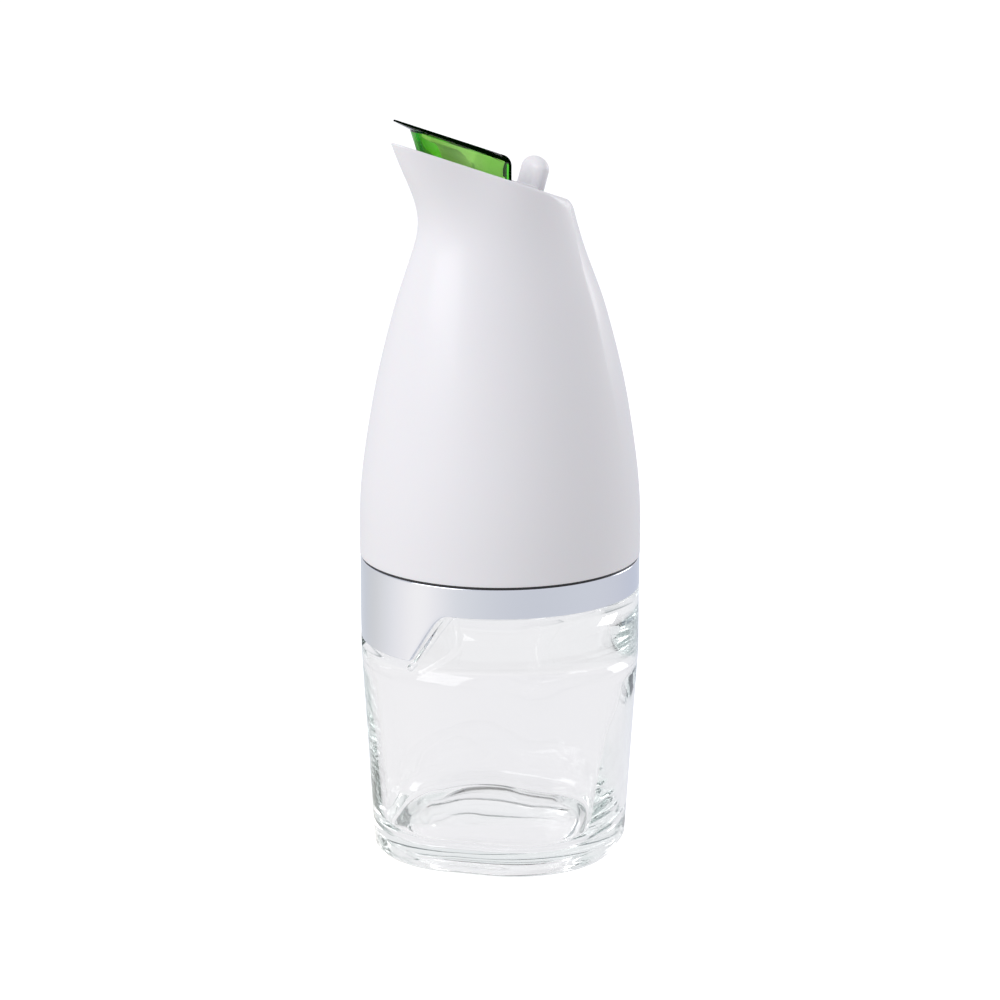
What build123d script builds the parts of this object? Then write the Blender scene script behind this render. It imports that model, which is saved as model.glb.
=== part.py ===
"""Table cruet: a glass bottle, a pull-off pouring head and a sprung lid worked by the thumb.

The frame stands on the table: +Z is up, the origin is the centre of the foot and the spout points to -Y.
All lengths are in millimetres and all angles in degrees.
"""
import os
from collections import namedtuple
from math import atan, cos, degrees, exp, pi, radians, sin

from build123d import *

os.makedirs("parts", exist_ok=True)

# Glass bottle
body_radius = 36.0
shoulder_height = 69.9
straight_height = 11.9
foot_inset = 4.6
foot_corner = 26.0
heel_radius = 4.5
foot_wall = 4.4
body_wall = 2.6
floor_thickness = 5.4
cavity_corner = 18.0
floor_fillet = 5.0
cavity_setback = 8.0
neck_height = 16.1
shoulder_width = 5.4
neck_wall = 3.6
lip_round = 1.2
push_up_depth = 2.0
push_up_margin = 9.4
push_up_corner = 15.0
push_up_draft = 40.0

# Chromed collar with its tab
seat_gap = 0.2
collar_height = 7.7
collar_wall = 1.6
collar_round = 0.35
collar_proud = 0.1
tab_drop = 13.4
tab_foot_half = 13.6
tab_root_half = 23.6
tab_corner = 2.2
tab_thickness = 1.1
recess_gap = 0.35

# Neck insert: flange, skirt, spigot, web and plug
gap_line = 0.6
flange_setback = 0.6
skirt_wall = 1.8
skirt_height = 5.6
web_thickness = 2.0
plug_setback = 1.8
plug_wall = 2.0
plug_depth = 17.0
plug_foot_height = 1.4
plug_foot_proud = 0.9
snap_height = 1.4
snap_proud = 0.4
snap_rise = 3.5
spigot_step = 0.35
spigot_clearance = 0.05
spigot_relief = 0.6

# Silicone rings
seal_fit = 0.05
seal_height = 9.6
seal_body = 0.8
lip_count = 3
lip_height = 1.6
lip_edge = 0.5
gasket_thickness = 1.0
gasket_gap = 0.05
oring_section = 1.4

# Head shell: one station for each height above its lower edge, drawn for one foot radius and mouth rise
shell_wall = 2.0
shell_proud = 0.2
rim_round = 0.8
drawn_mouth_rise = 98.1
Station = namedtuple("Station", "rise back nose side crease spread")
drawn_stations = [
    Station(0.0, 36.2, 36.2, 36.2, 56.0, 34.0),
    Station(12.0, 36.2, 36.2, 36.2, 56.0, 34.0),
    Station(22.0, 35.5, 35.5, 35.4, 56.0, 34.0),
    Station(34.0, 33.9, 33.9, 33.5, 55.5, 34.0),
    Station(46.0, 31.8, 31.9, 30.9, 55.5, 34.0),
    Station(58.0, 28.9, 29.3, 27.5, 55.0, 34.0),
    Station(68.0, 26.0, 26.7, 24.2, 54.5, 34.0),
    Station(78.0, 22.3, 23.6, 20.4, 51.5, 32.0),
    Station(86.0, 19.8, 21.9, 17.8, 46.5, 29.0),
    Station(94.0, 17.9, 23.6, 16.0, 41.5, 26.0),
    Station(102.0, 16.4, 27.4, 14.6, 38.5, 22.0),
    Station(110.0, 15.2, 30.9, 13.5, 37.0, 18.0),
    Station(118.0, 14.2, 33.9, 12.6, 36.0, 16.0),
]
side_points = 9
mouth_rise = 98.1
mouth_slope = 0.375

# Mouth deck, seen square to the sloping mouth: v runs down to the back, h stands off the rim
deck_depth = 6.5
deck_thickness = 2.0
deck_gap = 0.1
pour_hole_v = -9.4
pour_hole_half_width = 5.2
pour_hole_half_length = 7.8
coaming_wall = 1.2
coaming_height = 1.4
ear_gap = 0.1
ear_thickness = 2.0
ear_radius = 2.5
deck_screw_x = 7.0
deck_screw_v = 17.0
deck_screw_radius = 1.0
deck_screw_clearance = 0.15
deck_screw_length = 9.0
deck_head_radius = 1.9
deck_head_height = 1.3
boss_radius = 2.6
boss_height = 10.0
boss_rib = 1.6

# Pour liner: share of the mouth rise above the web, radius and distance of the centre in front
liner_wall = 1.1
liner_fit = 0.1
liner_flange_height = 1.4
liner_flange_width = 2.6
liner_spigot_depth = 5.0
liner_stations = [(0.265, 20.2, 1.0), (0.51, 14.6, 4.0)]
liner_top_lap = 0.3
liner_rim_width = 0.3
liner_rim_height = 1.2
deck_gasket_thickness = 1.0

# Rocker: pivot, lever, lid and seal
pivot_v = 6.0
pivot_h = -3.4
pin_radius = 1.0
pin_clearance = 0.05
barrel_radius = 2.3
barrel_inner = 2.6
barrel_outer = 6.3
lid_height = 5.6
lid_plate = 1.2
lid_wall = 1.2
lid_skirt_depth = 2.5
lid_half_width = 10.0
lid_shoulder_share = 0.58
lid_nose_half = 2.6
lid_side_round = 12.0
lid_rear_round = 3.6
lid_nose_round = 2.4
lid_front_top_v = -28.5
lid_front_foot_v = -22.8
lid_rear_y = -0.75
lid_edge_round = 1.9
beak_v = -34.2
beak_half = 0.9
beak_round = 1.2
beak_edge = 0.5
arm_half_width = 6.0
arm_gap = 0.2
arm_front_top_v = -15.0
arm_front_foot_v = -9.0
neck_rise = 0.2
seal_pad_thickness = 1.6
seal_pad_lap = 0.4
seal_pad_gap = 0.1
carrier_thickness = 1.6
thumb_v = 8.6
thumb_half_width = 5.0
thumb_half_depth = 3.1
thumb_height = 8.15
thumb_web_h = 1.8
lid_screw_x = 3.4
lid_screw_v = -5.2
lid_screw_radius = 0.8
lid_screw_length = 5.0
lid_head_radius = 1.5
lid_head_height = 1.0
lid_screw_clearance = 0.1
lid_boss_radius = 1.8
lid_boss_height = 3.0

# Return spring
spring_wire = 0.5
spring_radius = 1.8
spring_turns = 4.5
spring_pitch = 0.75
spring_leg = 4.6
spring_foot_leg = 3.4
spring_rest_reach = 2.9
spring_rest_length = 1.2

# Radii and heights that follow from the sizes above
taper_height = shoulder_height - straight_height
cavity_height = taper_height - cavity_setback
foot_width = 2 * (body_radius - foot_inset)
push_up_width = foot_width - 2 * push_up_margin
neck_radius = body_radius - shoulder_width
neck_top = shoulder_height + neck_height
neck_bore = neck_radius - neck_wall
cavity_radius = body_radius - body_wall
cavity_width = foot_width - 2 * foot_wall
collar_radius = body_radius + collar_proud
collar_bore = collar_radius - collar_wall
collar_foot = shoulder_height + seat_gap
collar_top = collar_foot + collar_height
tab_foot = collar_foot - tab_drop
tab_root = collar_foot + collar_wall
shell_foot = collar_top + gap_line
shell_radius = body_radius + shell_proud
shell_bore = shell_radius - shell_wall + spigot_step
skirt_bore = collar_bore - skirt_wall
plug_radius = neck_bore - plug_setback
plug_bore = plug_radius - plug_wall
plug_foot = neck_top - plug_depth
web_foot = neck_top + gasket_gap + gasket_thickness
web_top = web_foot + web_thickness
mouth_height = shell_foot + mouth_rise
mouth_tilt = degrees(atan(mouth_slope))
deck_top = -deck_depth
deck_foot = deck_top - deck_thickness
liner_top = deck_foot - deck_gasket_thickness
coaming_top = deck_top + coaming_height
spring_top = pivot_h + spring_radius + spring_wire / 2
spring_foot = pivot_h - spring_radius - spring_wire / 2
pad_foot = coaming_top + seal_pad_gap
carrier_foot = pad_foot + seal_pad_thickness
arm_foot = carrier_foot + carrier_thickness
plate_foot = lid_height - lid_plate
arm_top = plate_foot - arm_gap
ear_inner = barrel_outer + ear_gap
ear_outer = ear_inner + ear_thickness

mouth_plane = Plane(
    origin=(0, 0, mouth_height),
    x_dir=(1, 0, 0),
    z_dir=(0, sin(radians(mouth_tilt)), cos(radians(mouth_tilt))),
)
mouth_axis = Axis((0, 0, mouth_height), mouth_plane.z_dir)
side_plane = Plane(
    origin=(0, 0, mouth_height),
    x_dir=(0, cos(radians(mouth_tilt)), -sin(radians(mouth_tilt))),
    z_dir=(1, 0, 0),
)


def fitted(station):
    """Station moved to the mouth's rise and widened with the foot, less so towards the mouth."""
    growth = shell_radius - drawn_stations[0].back
    growth *= 1 - station.rise / drawn_stations[-1].rise
    return Station(
        station.rise * mouth_rise / drawn_mouth_rise,
        station.back + growth,
        station.nose + growth,
        station.side + growth,
        station.crease,
        station.spread,
    )


stations = [fitted(station) for station in drawn_stations]


def section_radius(station, share):
    """Radius of a head section at a share of the way from the nose (0) to the crease (1)."""
    angle = share * (180 - station.crease)
    nose_swell = (station.nose - station.back) * exp(-0.5 * (angle / station.spread) ** 2)
    side_pinch = (station.back - station.side) * 6.75 * share**2 * (1 - share)
    return station.back + nose_swell - side_pinch


def side_curve(station, inset):
    """Points of the right side of a section, from the nose to the crease, drawn in by inset."""
    span = 180 - station.crease
    outer = []
    for index in range(side_points):
        share = index / (side_points - 1)
        angle = radians(share * span)
        radius = section_radius(station, share)
        outer.append(Vector(radius * sin(angle), -radius * cos(angle)))
    points = [Vector(0, inset - station.nose)]
    for before, here, after in zip(outer, outer[1:], outer[2:]):
        along = (after - before).normalized()
        points.append(here + Vector(-along.Y, along.X) * inset)
    crease = radians(station.crease)
    points.append(Vector(sin(crease), cos(crease)) * (station.back - inset))
    return points


def head_form(inset):
    """Outer form of the head, drawn in by inset, as one lofted solid that stands above the mouth."""
    with BuildPart() as form:
        for station in stations:
            with BuildSketch(Plane.XY.offset(shell_foot + station.rise)):
                right = side_curve(station, inset)
                left = [Vector(-point.X, point.Y) for point in right]
                leave = right[-1] - right[-2]
                with BuildLine():
                    Spline(*right, tangents=[(1, 0), leave])
                    ThreePointArc(right[-1], (0, station.back - inset), left[-1])
                    Spline(*left, tangents=[(-1, 0), (-leave.X, leave.Y)])
                make_face()
        loft()
    return form.part


outer_form = head_form(0)
inner_form = head_form(shell_wall)
deck_form = head_form(shell_wall + deck_gap)


def tab_form(inner_radius, outer_radius, grow):
    """Tab between two radii round the axis, with its outline grown on every side."""
    with BuildPart() as form:
        with BuildSketch(Plane.XZ):
            with BuildLine():
                FilletPolyline(
                    (-tab_root_half, tab_root),
                    (-tab_root_half, collar_foot),
                    (-tab_foot_half, tab_foot),
                    (tab_foot_half, tab_foot),
                    (tab_root_half, collar_foot),
                    (tab_root_half, tab_root),
                    radius=(0, tab_corner, tab_corner, tab_corner, tab_corner, 0),
                    close=True,
                )
            make_face()
            if grow:
                offset(amount=grow)
        extrude(amount=outer_radius)
        with BuildSketch(Plane.XY.offset(tab_foot - grow)):
            Circle(outer_radius)
            Circle(inner_radius, mode=Mode.SUBTRACT)
        extrude(amount=tab_root + grow - (tab_foot - grow), mode=Mode.INTERSECT)
    return form.part


tab_solid = tab_form(collar_radius - tab_thickness, collar_radius, 0)
recess_solid = tab_form(
    collar_radius - tab_thickness - recess_gap, body_radius + recess_gap, recess_gap
)

# Glass bottle
with BuildPart() as glass_bottle:
    with BuildSketch(Plane.XY):
        RectangleRounded(foot_width, foot_width, foot_corner, rotation=45)
    with BuildSketch(Plane.XY.offset(taper_height)):
        Circle(body_radius)
    loft()
    fillet(glass_bottle.edges().group_by(Axis.Z)[0], heel_radius)
    with BuildSketch(Plane.XY.offset(taper_height)):
        Circle(body_radius)
    extrude(amount=shoulder_height - taper_height)
    with BuildSketch(Plane.XY.offset(shoulder_height)):
        Circle(neck_radius)
    extrude(amount=neck_height)
    with BuildSketch(Plane.XY.offset(floor_thickness)):
        RectangleRounded(cavity_width, cavity_width, cavity_corner, rotation=45)
    with BuildSketch(Plane.XY.offset(cavity_height)):
        Circle(cavity_radius)
    loft(mode=Mode.SUBTRACT)
    with BuildSketch(Plane.XZ):
        with BuildLine():
            Polyline((0, neck_top), (0, cavity_height), (cavity_radius, cavity_height))
            Spline(
                (cavity_radius, cavity_height),
                (neck_bore, plug_foot - heel_radius / 2),
                tangents=[(0, 1), (0, 1)],
            )
            Polyline((neck_bore, plug_foot - heel_radius / 2), (neck_bore, neck_top), (0, neck_top))
        make_face()
    revolve(axis=Axis.Z, mode=Mode.SUBTRACT)
    fillet(glass_bottle.edges().group_by(Axis.Z)[-1], lip_round)
    floor_edges = glass_bottle.edges().filter_by_position(
        Axis.Z, floor_thickness - 0.1, floor_thickness + 0.1
    )
    fillet(floor_edges, floor_fillet)
    with BuildSketch(Plane.XY):
        RectangleRounded(push_up_width, push_up_width, push_up_corner, rotation=45)
    extrude(amount=push_up_depth, taper=push_up_draft, mode=Mode.SUBTRACT)
    add(recess_solid, mode=Mode.SUBTRACT)
glass_bottle.part.label = "glass_bottle"

# Chromed collar with the tab at the front
with BuildPart() as collar_ring:
    with BuildSketch(Plane.XY.offset(collar_foot)):
        Circle(collar_radius)
        Circle(collar_bore, mode=Mode.SUBTRACT)
    extrude(amount=collar_height)
    fillet(collar_ring.edges().group_by(Axis.Z)[-1], collar_round)
    add(tab_solid)
collar_ring.part.label = "collar_ring"

# Neck insert: skirt in the collar, flange in the dark line, spigot in the shell, plug in the glass
with BuildPart() as neck_insert:
    with BuildSketch(Plane.XZ):
        with BuildLine():
            Polyline(
                (skirt_bore, collar_top - skirt_height),
                (collar_bore, collar_top - skirt_height),
                (collar_bore, collar_top),
                (shell_radius - flange_setback, collar_top),
                (shell_radius - flange_setback, shell_foot),
                (shell_bore, shell_foot),
                (shell_bore, shell_foot + snap_rise),
                (shell_bore + snap_proud, shell_foot + snap_rise + snap_proud),
                (shell_bore + snap_proud, shell_foot + snap_rise + snap_height - snap_proud),
                (shell_bore, shell_foot + snap_rise + snap_height),
                (shell_bore, web_top),
                (plug_bore + oring_section, web_top),
                (plug_bore + oring_section, web_top - oring_section),
                (plug_bore, web_top - oring_section),
                (plug_bore, plug_foot),
                (plug_radius, plug_foot),
                (plug_radius + plug_foot_proud, plug_foot + plug_foot_height / 2),
                (plug_radius + plug_foot_proud, plug_foot + plug_foot_height),
                (plug_radius, plug_foot + plug_foot_height),
                (plug_radius, web_foot),
                (skirt_bore, web_foot),
                close=True,
            )
        make_face()
    revolve(axis=Axis.Z)
neck_insert.part.label = "neck_insert"

# Silicone ring with lips that grips the bore of the glass
seal_foot = plug_foot + plug_foot_height
lip_reach = neck_bore - seal_fit
lip_step = seal_height / lip_count
with BuildPart() as bottle_seal:
    with BuildSketch(Plane.XZ):
        with Locations((plug_radius, seal_foot)):
            Rectangle(seal_body, seal_height, align=(Align.MIN, Align.MIN))
        for index in range(lip_count):
            lip_foot = seal_foot + (index + 0.5) * lip_step - lip_height / 2
            with BuildLine():
                Polyline(
                    (plug_radius + seal_body / 2, lip_foot),
                    (lip_reach, lip_foot + (lip_height - lip_edge) / 2),
                    (lip_reach, lip_foot + (lip_height + lip_edge) / 2),
                    (plug_radius + seal_body / 2, lip_foot + lip_height),
                    close=True,
                )
            make_face()
    revolve(axis=Axis.Z)
bottle_seal.part.label = "bottle_seal"

# Flat ring between the rim of the glass and the web
with BuildPart() as rim_gasket:
    with BuildSketch(Plane.XY.offset(neck_top + gasket_gap)):
        Circle(neck_radius)
        Circle(plug_radius, mode=Mode.SUBTRACT)
    extrude(amount=gasket_thickness)
rim_gasket.part.label = "rim_gasket"

# O-ring in the rebate of the plug, under the flange of the liner
with BuildPart() as liner_seal:
    with BuildSketch(Plane.XZ):
        with Locations((plug_bore + oring_section / 2, web_top - oring_section / 2)):
            Circle(oring_section / 2)
    revolve(axis=Axis.Z)
liner_seal.part.label = "liner_seal"


def liner_form(inset):
    """Funnel from the plug to the underside of the deck, drawn in by inset."""
    with BuildPart() as form:
        with BuildSketch(Plane.XY.offset(web_top)):
            Circle(plug_bore - liner_fit - inset)
        for share, radius, forward in liner_stations:
            with BuildSketch(Plane((0, -forward, web_top + share * mouth_rise))):
                Circle(radius - inset)
        with BuildSketch(mouth_plane.offset(liner_top)):
            with Locations((0, pour_hole_v)):
                Ellipse(
                    pour_hole_half_width + liner_top_lap + liner_wall - inset,
                    pour_hole_half_length + liner_top_lap + liner_wall - inset,
                )
        loft()
    return form.part


liner_outer = liner_form(0)
liner_inner = liner_form(liner_wall)

# Funnel from the neck up to the mouth
with BuildPart() as pour_liner:
    add(liner_outer)
    with BuildSketch(Plane.XY.offset(web_top - liner_spigot_depth)):
        Circle(plug_bore - liner_fit)
    extrude(amount=liner_spigot_depth)
    with BuildSketch(Plane.XY.offset(web_top)):
        Circle(plug_bore + liner_flange_width)
    extrude(amount=liner_flange_height)
    with BuildSketch(mouth_plane.offset(liner_top - liner_rim_height)):
        with Locations((0, pour_hole_v)):
            Ellipse(
                pour_hole_half_width + liner_top_lap + liner_wall + liner_rim_width,
                pour_hole_half_length + liner_top_lap + liner_wall + liner_rim_width,
            )
    extrude(amount=liner_rim_height)
    add(liner_inner, mode=Mode.SUBTRACT)
    with BuildSketch(Plane.XY.offset(web_top - liner_spigot_depth)):
        Circle(plug_bore - liner_fit - liner_wall)
    extrude(amount=liner_spigot_depth, mode=Mode.SUBTRACT)
pour_liner.part.label = "pour_liner"

# Bosses for the deck screws, each with a rib to the back wall of the shell
deck_screw_spots = [(-deck_screw_x, deck_screw_v), (deck_screw_x, deck_screw_v)]
with BuildPart() as shell_bosses:
    with BuildSketch(mouth_plane.offset(deck_foot)):
        with Locations(*deck_screw_spots):
            Circle(boss_radius)
            Rectangle(boss_rib, body_radius, align=(Align.CENTER, Align.MIN))
    extrude(amount=-boss_height)
    add(outer_form, mode=Mode.INTERSECT)

# Head shell
with BuildPart() as head_shell:
    add(outer_form)
    split(bisect_by=mouth_plane, keep=Keep.BOTTOM)
    fillet(head_shell.edges().group_by(mouth_axis)[-1], rim_round)
    add(inner_form, mode=Mode.SUBTRACT)
    with BuildSketch(Plane.XY.offset(shell_foot)):
        Circle(shell_bore + spigot_clearance)
    extrude(amount=web_top - shell_foot + spigot_relief, mode=Mode.SUBTRACT)
    add(shell_bosses.part)
    with BuildSketch(mouth_plane.offset(deck_foot)):
        with Locations(*deck_screw_spots):
            Circle(deck_screw_radius)
    extrude(amount=-boss_height, mode=Mode.SUBTRACT)
    with BuildSketch(Plane.XZ):
        with BuildLine():
            Polyline(
                (shell_bore - snap_proud, shell_foot + snap_rise - snap_proud),
                (shell_bore + snap_proud, shell_foot + snap_rise + snap_proud),
                (shell_bore + snap_proud, shell_foot + snap_rise + snap_height - snap_proud),
                (shell_bore - snap_proud, shell_foot + snap_rise + snap_height + snap_proud),
                close=True,
            )
        make_face()
    revolve(axis=Axis.Z, mode=Mode.SUBTRACT)
head_shell.part.label = "head_shell"

# Mouth deck: plate, coaming round the pour hole, hinge ears and the rest for the spring
with BuildPart() as mouth_deck:
    add(deck_form)
    split(bisect_by=mouth_plane.offset(deck_top), keep=Keep.BOTTOM)
    split(bisect_by=mouth_plane.offset(deck_foot), keep=Keep.TOP)
    with BuildSketch(mouth_plane.offset(deck_top)):
        with Locations((0, pour_hole_v)):
            Ellipse(pour_hole_half_width + coaming_wall, pour_hole_half_length + coaming_wall)
    extrude(amount=coaming_height)
    with BuildSketch(mouth_plane.offset(deck_foot)):
        with Locations((0, pour_hole_v)):
            Ellipse(pour_hole_half_width, pour_hole_half_length)
    extrude(amount=deck_thickness + coaming_height, mode=Mode.SUBTRACT)
    for side in (-1, 1):
        with BuildSketch(side_plane.offset(side * ear_inner)):
            with Locations((pivot_v, pivot_h)):
                Circle(ear_radius)
                Rectangle(2 * ear_radius, pivot_h - deck_top, align=(Align.CENTER, Align.MAX))
        extrude(amount=side * ear_thickness)
    with BuildSketch(side_plane):
        with Locations((pivot_v, pivot_h)):
            Circle(pin_radius)
    extrude(amount=ear_outer, both=True, mode=Mode.SUBTRACT)
    with BuildSketch(side_plane):
        with Locations((pivot_v + spring_rest_reach, deck_top)):
            Rectangle(spring_rest_length, spring_foot - deck_top, align=(Align.CENTER, Align.MIN))
    extrude(amount=barrel_inner, both=True)
    with BuildSketch(mouth_plane.offset(deck_foot)):
        with Locations(*deck_screw_spots):
            Circle(deck_screw_radius + deck_screw_clearance)
    extrude(amount=deck_thickness, mode=Mode.SUBTRACT)
mouth_deck.part.label = "mouth_deck"

# Ring between the top of the liner and the deck
with BuildPart() as deck_gasket:
    with BuildSketch(mouth_plane.offset(liner_top)):
        with Locations((0, pour_hole_v)):
            Ellipse(
                pour_hole_half_width + liner_top_lap + liner_wall + liner_rim_width,
                pour_hole_half_length + liner_top_lap + liner_wall + liner_rim_width,
            )
            Ellipse(
                pour_hole_half_width + liner_top_lap,
                pour_hole_half_length + liner_top_lap,
                mode=Mode.SUBTRACT,
            )
    extrude(amount=deck_gasket_thickness)
deck_gasket.part.label = "deck_gasket"

# Two pan-head screws that hold the deck to the bosses
with BuildPart() as deck_screws:
    with BuildSketch(mouth_plane.offset(deck_top)):
        with Locations(*deck_screw_spots):
            Circle(deck_head_radius)
    extrude(amount=deck_head_height)
    fillet(deck_screws.edges().group_by(mouth_axis)[-1], deck_head_height / 2)
    with BuildSketch(mouth_plane.offset(deck_top)):
        with Locations(*deck_screw_spots):
            Circle(deck_screw_radius)
    extrude(amount=-deck_screw_length)
deck_screws.part.label = "deck_screws"

# Hinge pin, pressed into the ears
with BuildPart() as hinge_pin:
    with BuildSketch(side_plane):
        with Locations((pivot_v, pivot_h)):
            Circle(pin_radius)
    extrude(amount=ear_outer, both=True)
hinge_pin.part.label = "hinge_pin"

# Torsion spring: a coil round the pin with both legs to the back
coil_length = spring_turns * spring_pitch
coil_rise = spring_pitch / (2 * pi * spring_radius)
coil_plane = Plane(
    origin=side_plane.from_local_coords((pivot_v, pivot_h, -coil_length / 2)),
    x_dir=mouth_plane.z_dir,
    z_dir=(1, 0, 0),
)
with BuildPart() as spring_form:
    with BuildLine() as spring_path:
        Line((spring_radius, -spring_leg, -spring_leg * coil_rise), (spring_radius, 0, 0))
        Helix(spring_pitch, coil_length, spring_radius)
        Line(
            (-spring_radius, 0, coil_length),
            (-spring_radius, -spring_foot_leg, coil_length + spring_foot_leg * coil_rise),
        )
    with BuildSketch(Plane(spring_path.line @ 0, z_dir=spring_path.line % 0)):
        Circle(spring_wire / 2)
    sweep()
with BuildPart() as return_spring:
    with Locations(coil_plane):
        add(spring_form.part)
return_spring.part.label = "return_spring"


def lid_outline(front_v, rear_v, nose_half, nose_round, inset):
    """Closed outline of the lid across the mouth, drawn in by inset."""
    front = front_v + inset
    rear = rear_v - inset
    half_width = lid_half_width - inset
    shoulder = front + lid_shoulder_share * (rear - front)
    FilletPolyline(
        (nose_half, front),
        (half_width, shoulder),
        (half_width, rear),
        (-half_width, rear),
        (-half_width, shoulder),
        (-nose_half, front),
        radius=(
            nose_round,
            lid_side_round,
            lid_rear_round - inset,
            lid_rear_round - inset,
            lid_side_round,
            nose_round,
        ),
        close=True,
    )


def lid_rear_v(height):
    """Place of the lid's upright rear wall at a height above the rim."""
    return (lid_rear_y - height * sin(radians(mouth_tilt))) / cos(radians(mouth_tilt))


def lid_front_v(height):
    """Place of the lid's leaning front wall at a height above the rim."""
    share = (height + lid_skirt_depth) / (plate_foot + lid_skirt_depth)
    return lid_front_foot_v + share * (lid_front_top_v - lid_front_foot_v)


def lid_form(top, inset):
    """Form of the lid from the foot of its skirt up to a height, drawn in by inset."""
    nose_round = lid_nose_round - inset
    with BuildPart() as form:
        for height in (-lid_skirt_depth, top):
            with BuildSketch(mouth_plane.offset(height)):
                with BuildLine():
                    lid_outline(
                        lid_front_v(height), lid_rear_v(height), lid_nose_half, nose_round, inset
                    )
                make_face()
        loft(ruled=True)
    return form.part


lid_outer = lid_form(lid_height, 0)
lid_inner = lid_form(plate_foot, lid_wall)
lid_screw_spots = [(-lid_screw_x, lid_screw_v), (lid_screw_x, lid_screw_v)]

# Green lid: plate with a beak, skirt, slot for the lever's neck and two screw bosses
with BuildPart() as lid_cap:
    add(lid_outer)
    add(lid_inner, mode=Mode.SUBTRACT)
    with BuildSketch(mouth_plane.offset(plate_foot)):
        with BuildLine():
            lid_outline(beak_v, lid_rear_v(lid_height), beak_half, beak_round, 0)
        make_face()
    extrude(amount=lid_plate)
    with BuildSketch(side_plane):
        with BuildLine():
            FilletPolyline(
                (beak_v - beak_edge, lid_height),
                (lid_rear_v(lid_height), lid_height),
                (lid_rear_v(-lid_skirt_depth), -lid_skirt_depth),
                (beak_v - beak_edge, -lid_skirt_depth),
                radius=(0, lid_edge_round, 0, 0),
                close=True,
            )
        make_face()
    extrude(amount=lid_half_width, both=True, mode=Mode.INTERSECT)
    with BuildSketch(side_plane):
        with BuildLine():
            Polyline(
                (lid_front_top_v, plate_foot),
                (beak_v, lid_height - beak_edge),
                (beak_v - beak_edge, lid_height - beak_edge),
                (beak_v - beak_edge, plate_foot - beak_edge),
                (lid_front_top_v, plate_foot - beak_edge),
                close=True,
            )
        make_face()
    extrude(amount=lid_half_width, both=True, mode=Mode.SUBTRACT)
    with BuildSketch(side_plane):
        with Locations((lid_rear_v(0), -lid_skirt_depth)):
            Rectangle(
                4 * lid_wall,
                lid_skirt_depth + neck_rise + arm_gap,
                align=(Align.CENTER, Align.MIN),
            )
    extrude(amount=arm_half_width + arm_gap, both=True, mode=Mode.SUBTRACT)
    with BuildSketch(mouth_plane.offset(plate_foot)):
        with Locations(*lid_screw_spots):
            Circle(lid_boss_radius)
    extrude(amount=-lid_boss_height)
    with BuildSketch(mouth_plane.offset(plate_foot - lid_boss_height)):
        with Locations(*lid_screw_spots):
            Circle(lid_screw_radius)
    extrude(amount=lid_boss_height, mode=Mode.SUBTRACT)
lid_cap.part.label = "lid_cap"

# Dome of the thumb piece
with BuildPart() as thumb_dome:
    Sphere(thumb_half_depth)
    scale(by=(thumb_half_width / thumb_half_depth, 1, 1))

# White rocker: arm under the lid, seal carrier, two barrels on the pin and the thumb piece
with BuildPart() as thumb_lever:
    with BuildSketch(side_plane):
        with BuildLine():
            Polyline(
                (lid_rear_v(neck_rise) - lid_wall - arm_gap, neck_rise),
                (lid_rear_v(arm_top) - lid_wall - arm_gap, arm_top),
                (arm_front_top_v, arm_top),
            )
            Spline(
                (arm_front_top_v, arm_top),
                (arm_front_foot_v, arm_foot),
                tangents=[(1, -0.2), (0.2, -1)],
            )
            Polyline(
                (arm_front_foot_v, arm_foot),
                (pivot_v - barrel_radius, arm_foot),
                (pivot_v, spring_top),
                (thumb_v, spring_top),
                (thumb_v, thumb_web_h),
                (thumb_v - thumb_half_depth, thumb_web_h),
            )
            Spline(
                (thumb_v - thumb_half_depth, thumb_web_h),
                (lid_rear_v(neck_rise) + lid_wall, neck_rise),
                tangents=[(0, -1), (-1, 0)],
            )
            Line(
                (lid_rear_v(neck_rise) + lid_wall, neck_rise),
                (lid_rear_v(neck_rise) - lid_wall - arm_gap, neck_rise),
            )
        make_face()
    extrude(amount=thumb_half_width, both=True)
    with BuildSketch(mouth_plane.offset(carrier_foot)):
        with Locations((0, pour_hole_v)):
            Ellipse(
                pour_hole_half_width + coaming_wall + seal_pad_lap,
                pour_hole_half_length + coaming_wall + seal_pad_lap,
            )
    extrude(amount=carrier_thickness)
    with BuildSketch(side_plane):
        with Locations((pivot_v, pivot_h)):
            Circle(barrel_radius)
    extrude(amount=barrel_outer, both=True)
    with BuildSketch(side_plane):
        with Locations((pivot_v, pivot_h)):
            Circle(barrel_radius + pin_clearance)
    extrude(amount=barrel_inner, both=True, mode=Mode.SUBTRACT)
    with BuildSketch(mouth_plane.offset(spring_top)):
        with Locations((0, thumb_v)):
            Ellipse(thumb_half_width, thumb_half_depth)
    extrude(amount=thumb_height - thumb_half_depth - spring_top)
    with Locations(mouth_plane.offset(thumb_height - thumb_half_depth)):
        with Locations((0, thumb_v)):
            add(thumb_dome.part)
    with BuildSketch(side_plane):
        with Locations((pivot_v, pivot_h)):
            Circle(pin_radius + pin_clearance)
    extrude(amount=barrel_outer, both=True, mode=Mode.SUBTRACT)
    with BuildSketch(mouth_plane.offset(carrier_foot)):
        with Locations(*lid_screw_spots):
            Circle(lid_head_radius)
    extrude(amount=lid_head_height, mode=Mode.SUBTRACT)
    with BuildSketch(mouth_plane.offset(carrier_foot)):
        with Locations(*lid_screw_spots):
            Circle(lid_screw_radius + lid_screw_clearance)
    extrude(amount=arm_top - carrier_foot, mode=Mode.SUBTRACT)
    with BuildSketch(mouth_plane.offset(arm_top)):
        with Locations(*lid_screw_spots):
            Circle(lid_boss_radius + lid_screw_clearance)
    extrude(amount=-lid_boss_height, mode=Mode.SUBTRACT)
thumb_lever.part.label = "thumb_lever"

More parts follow.
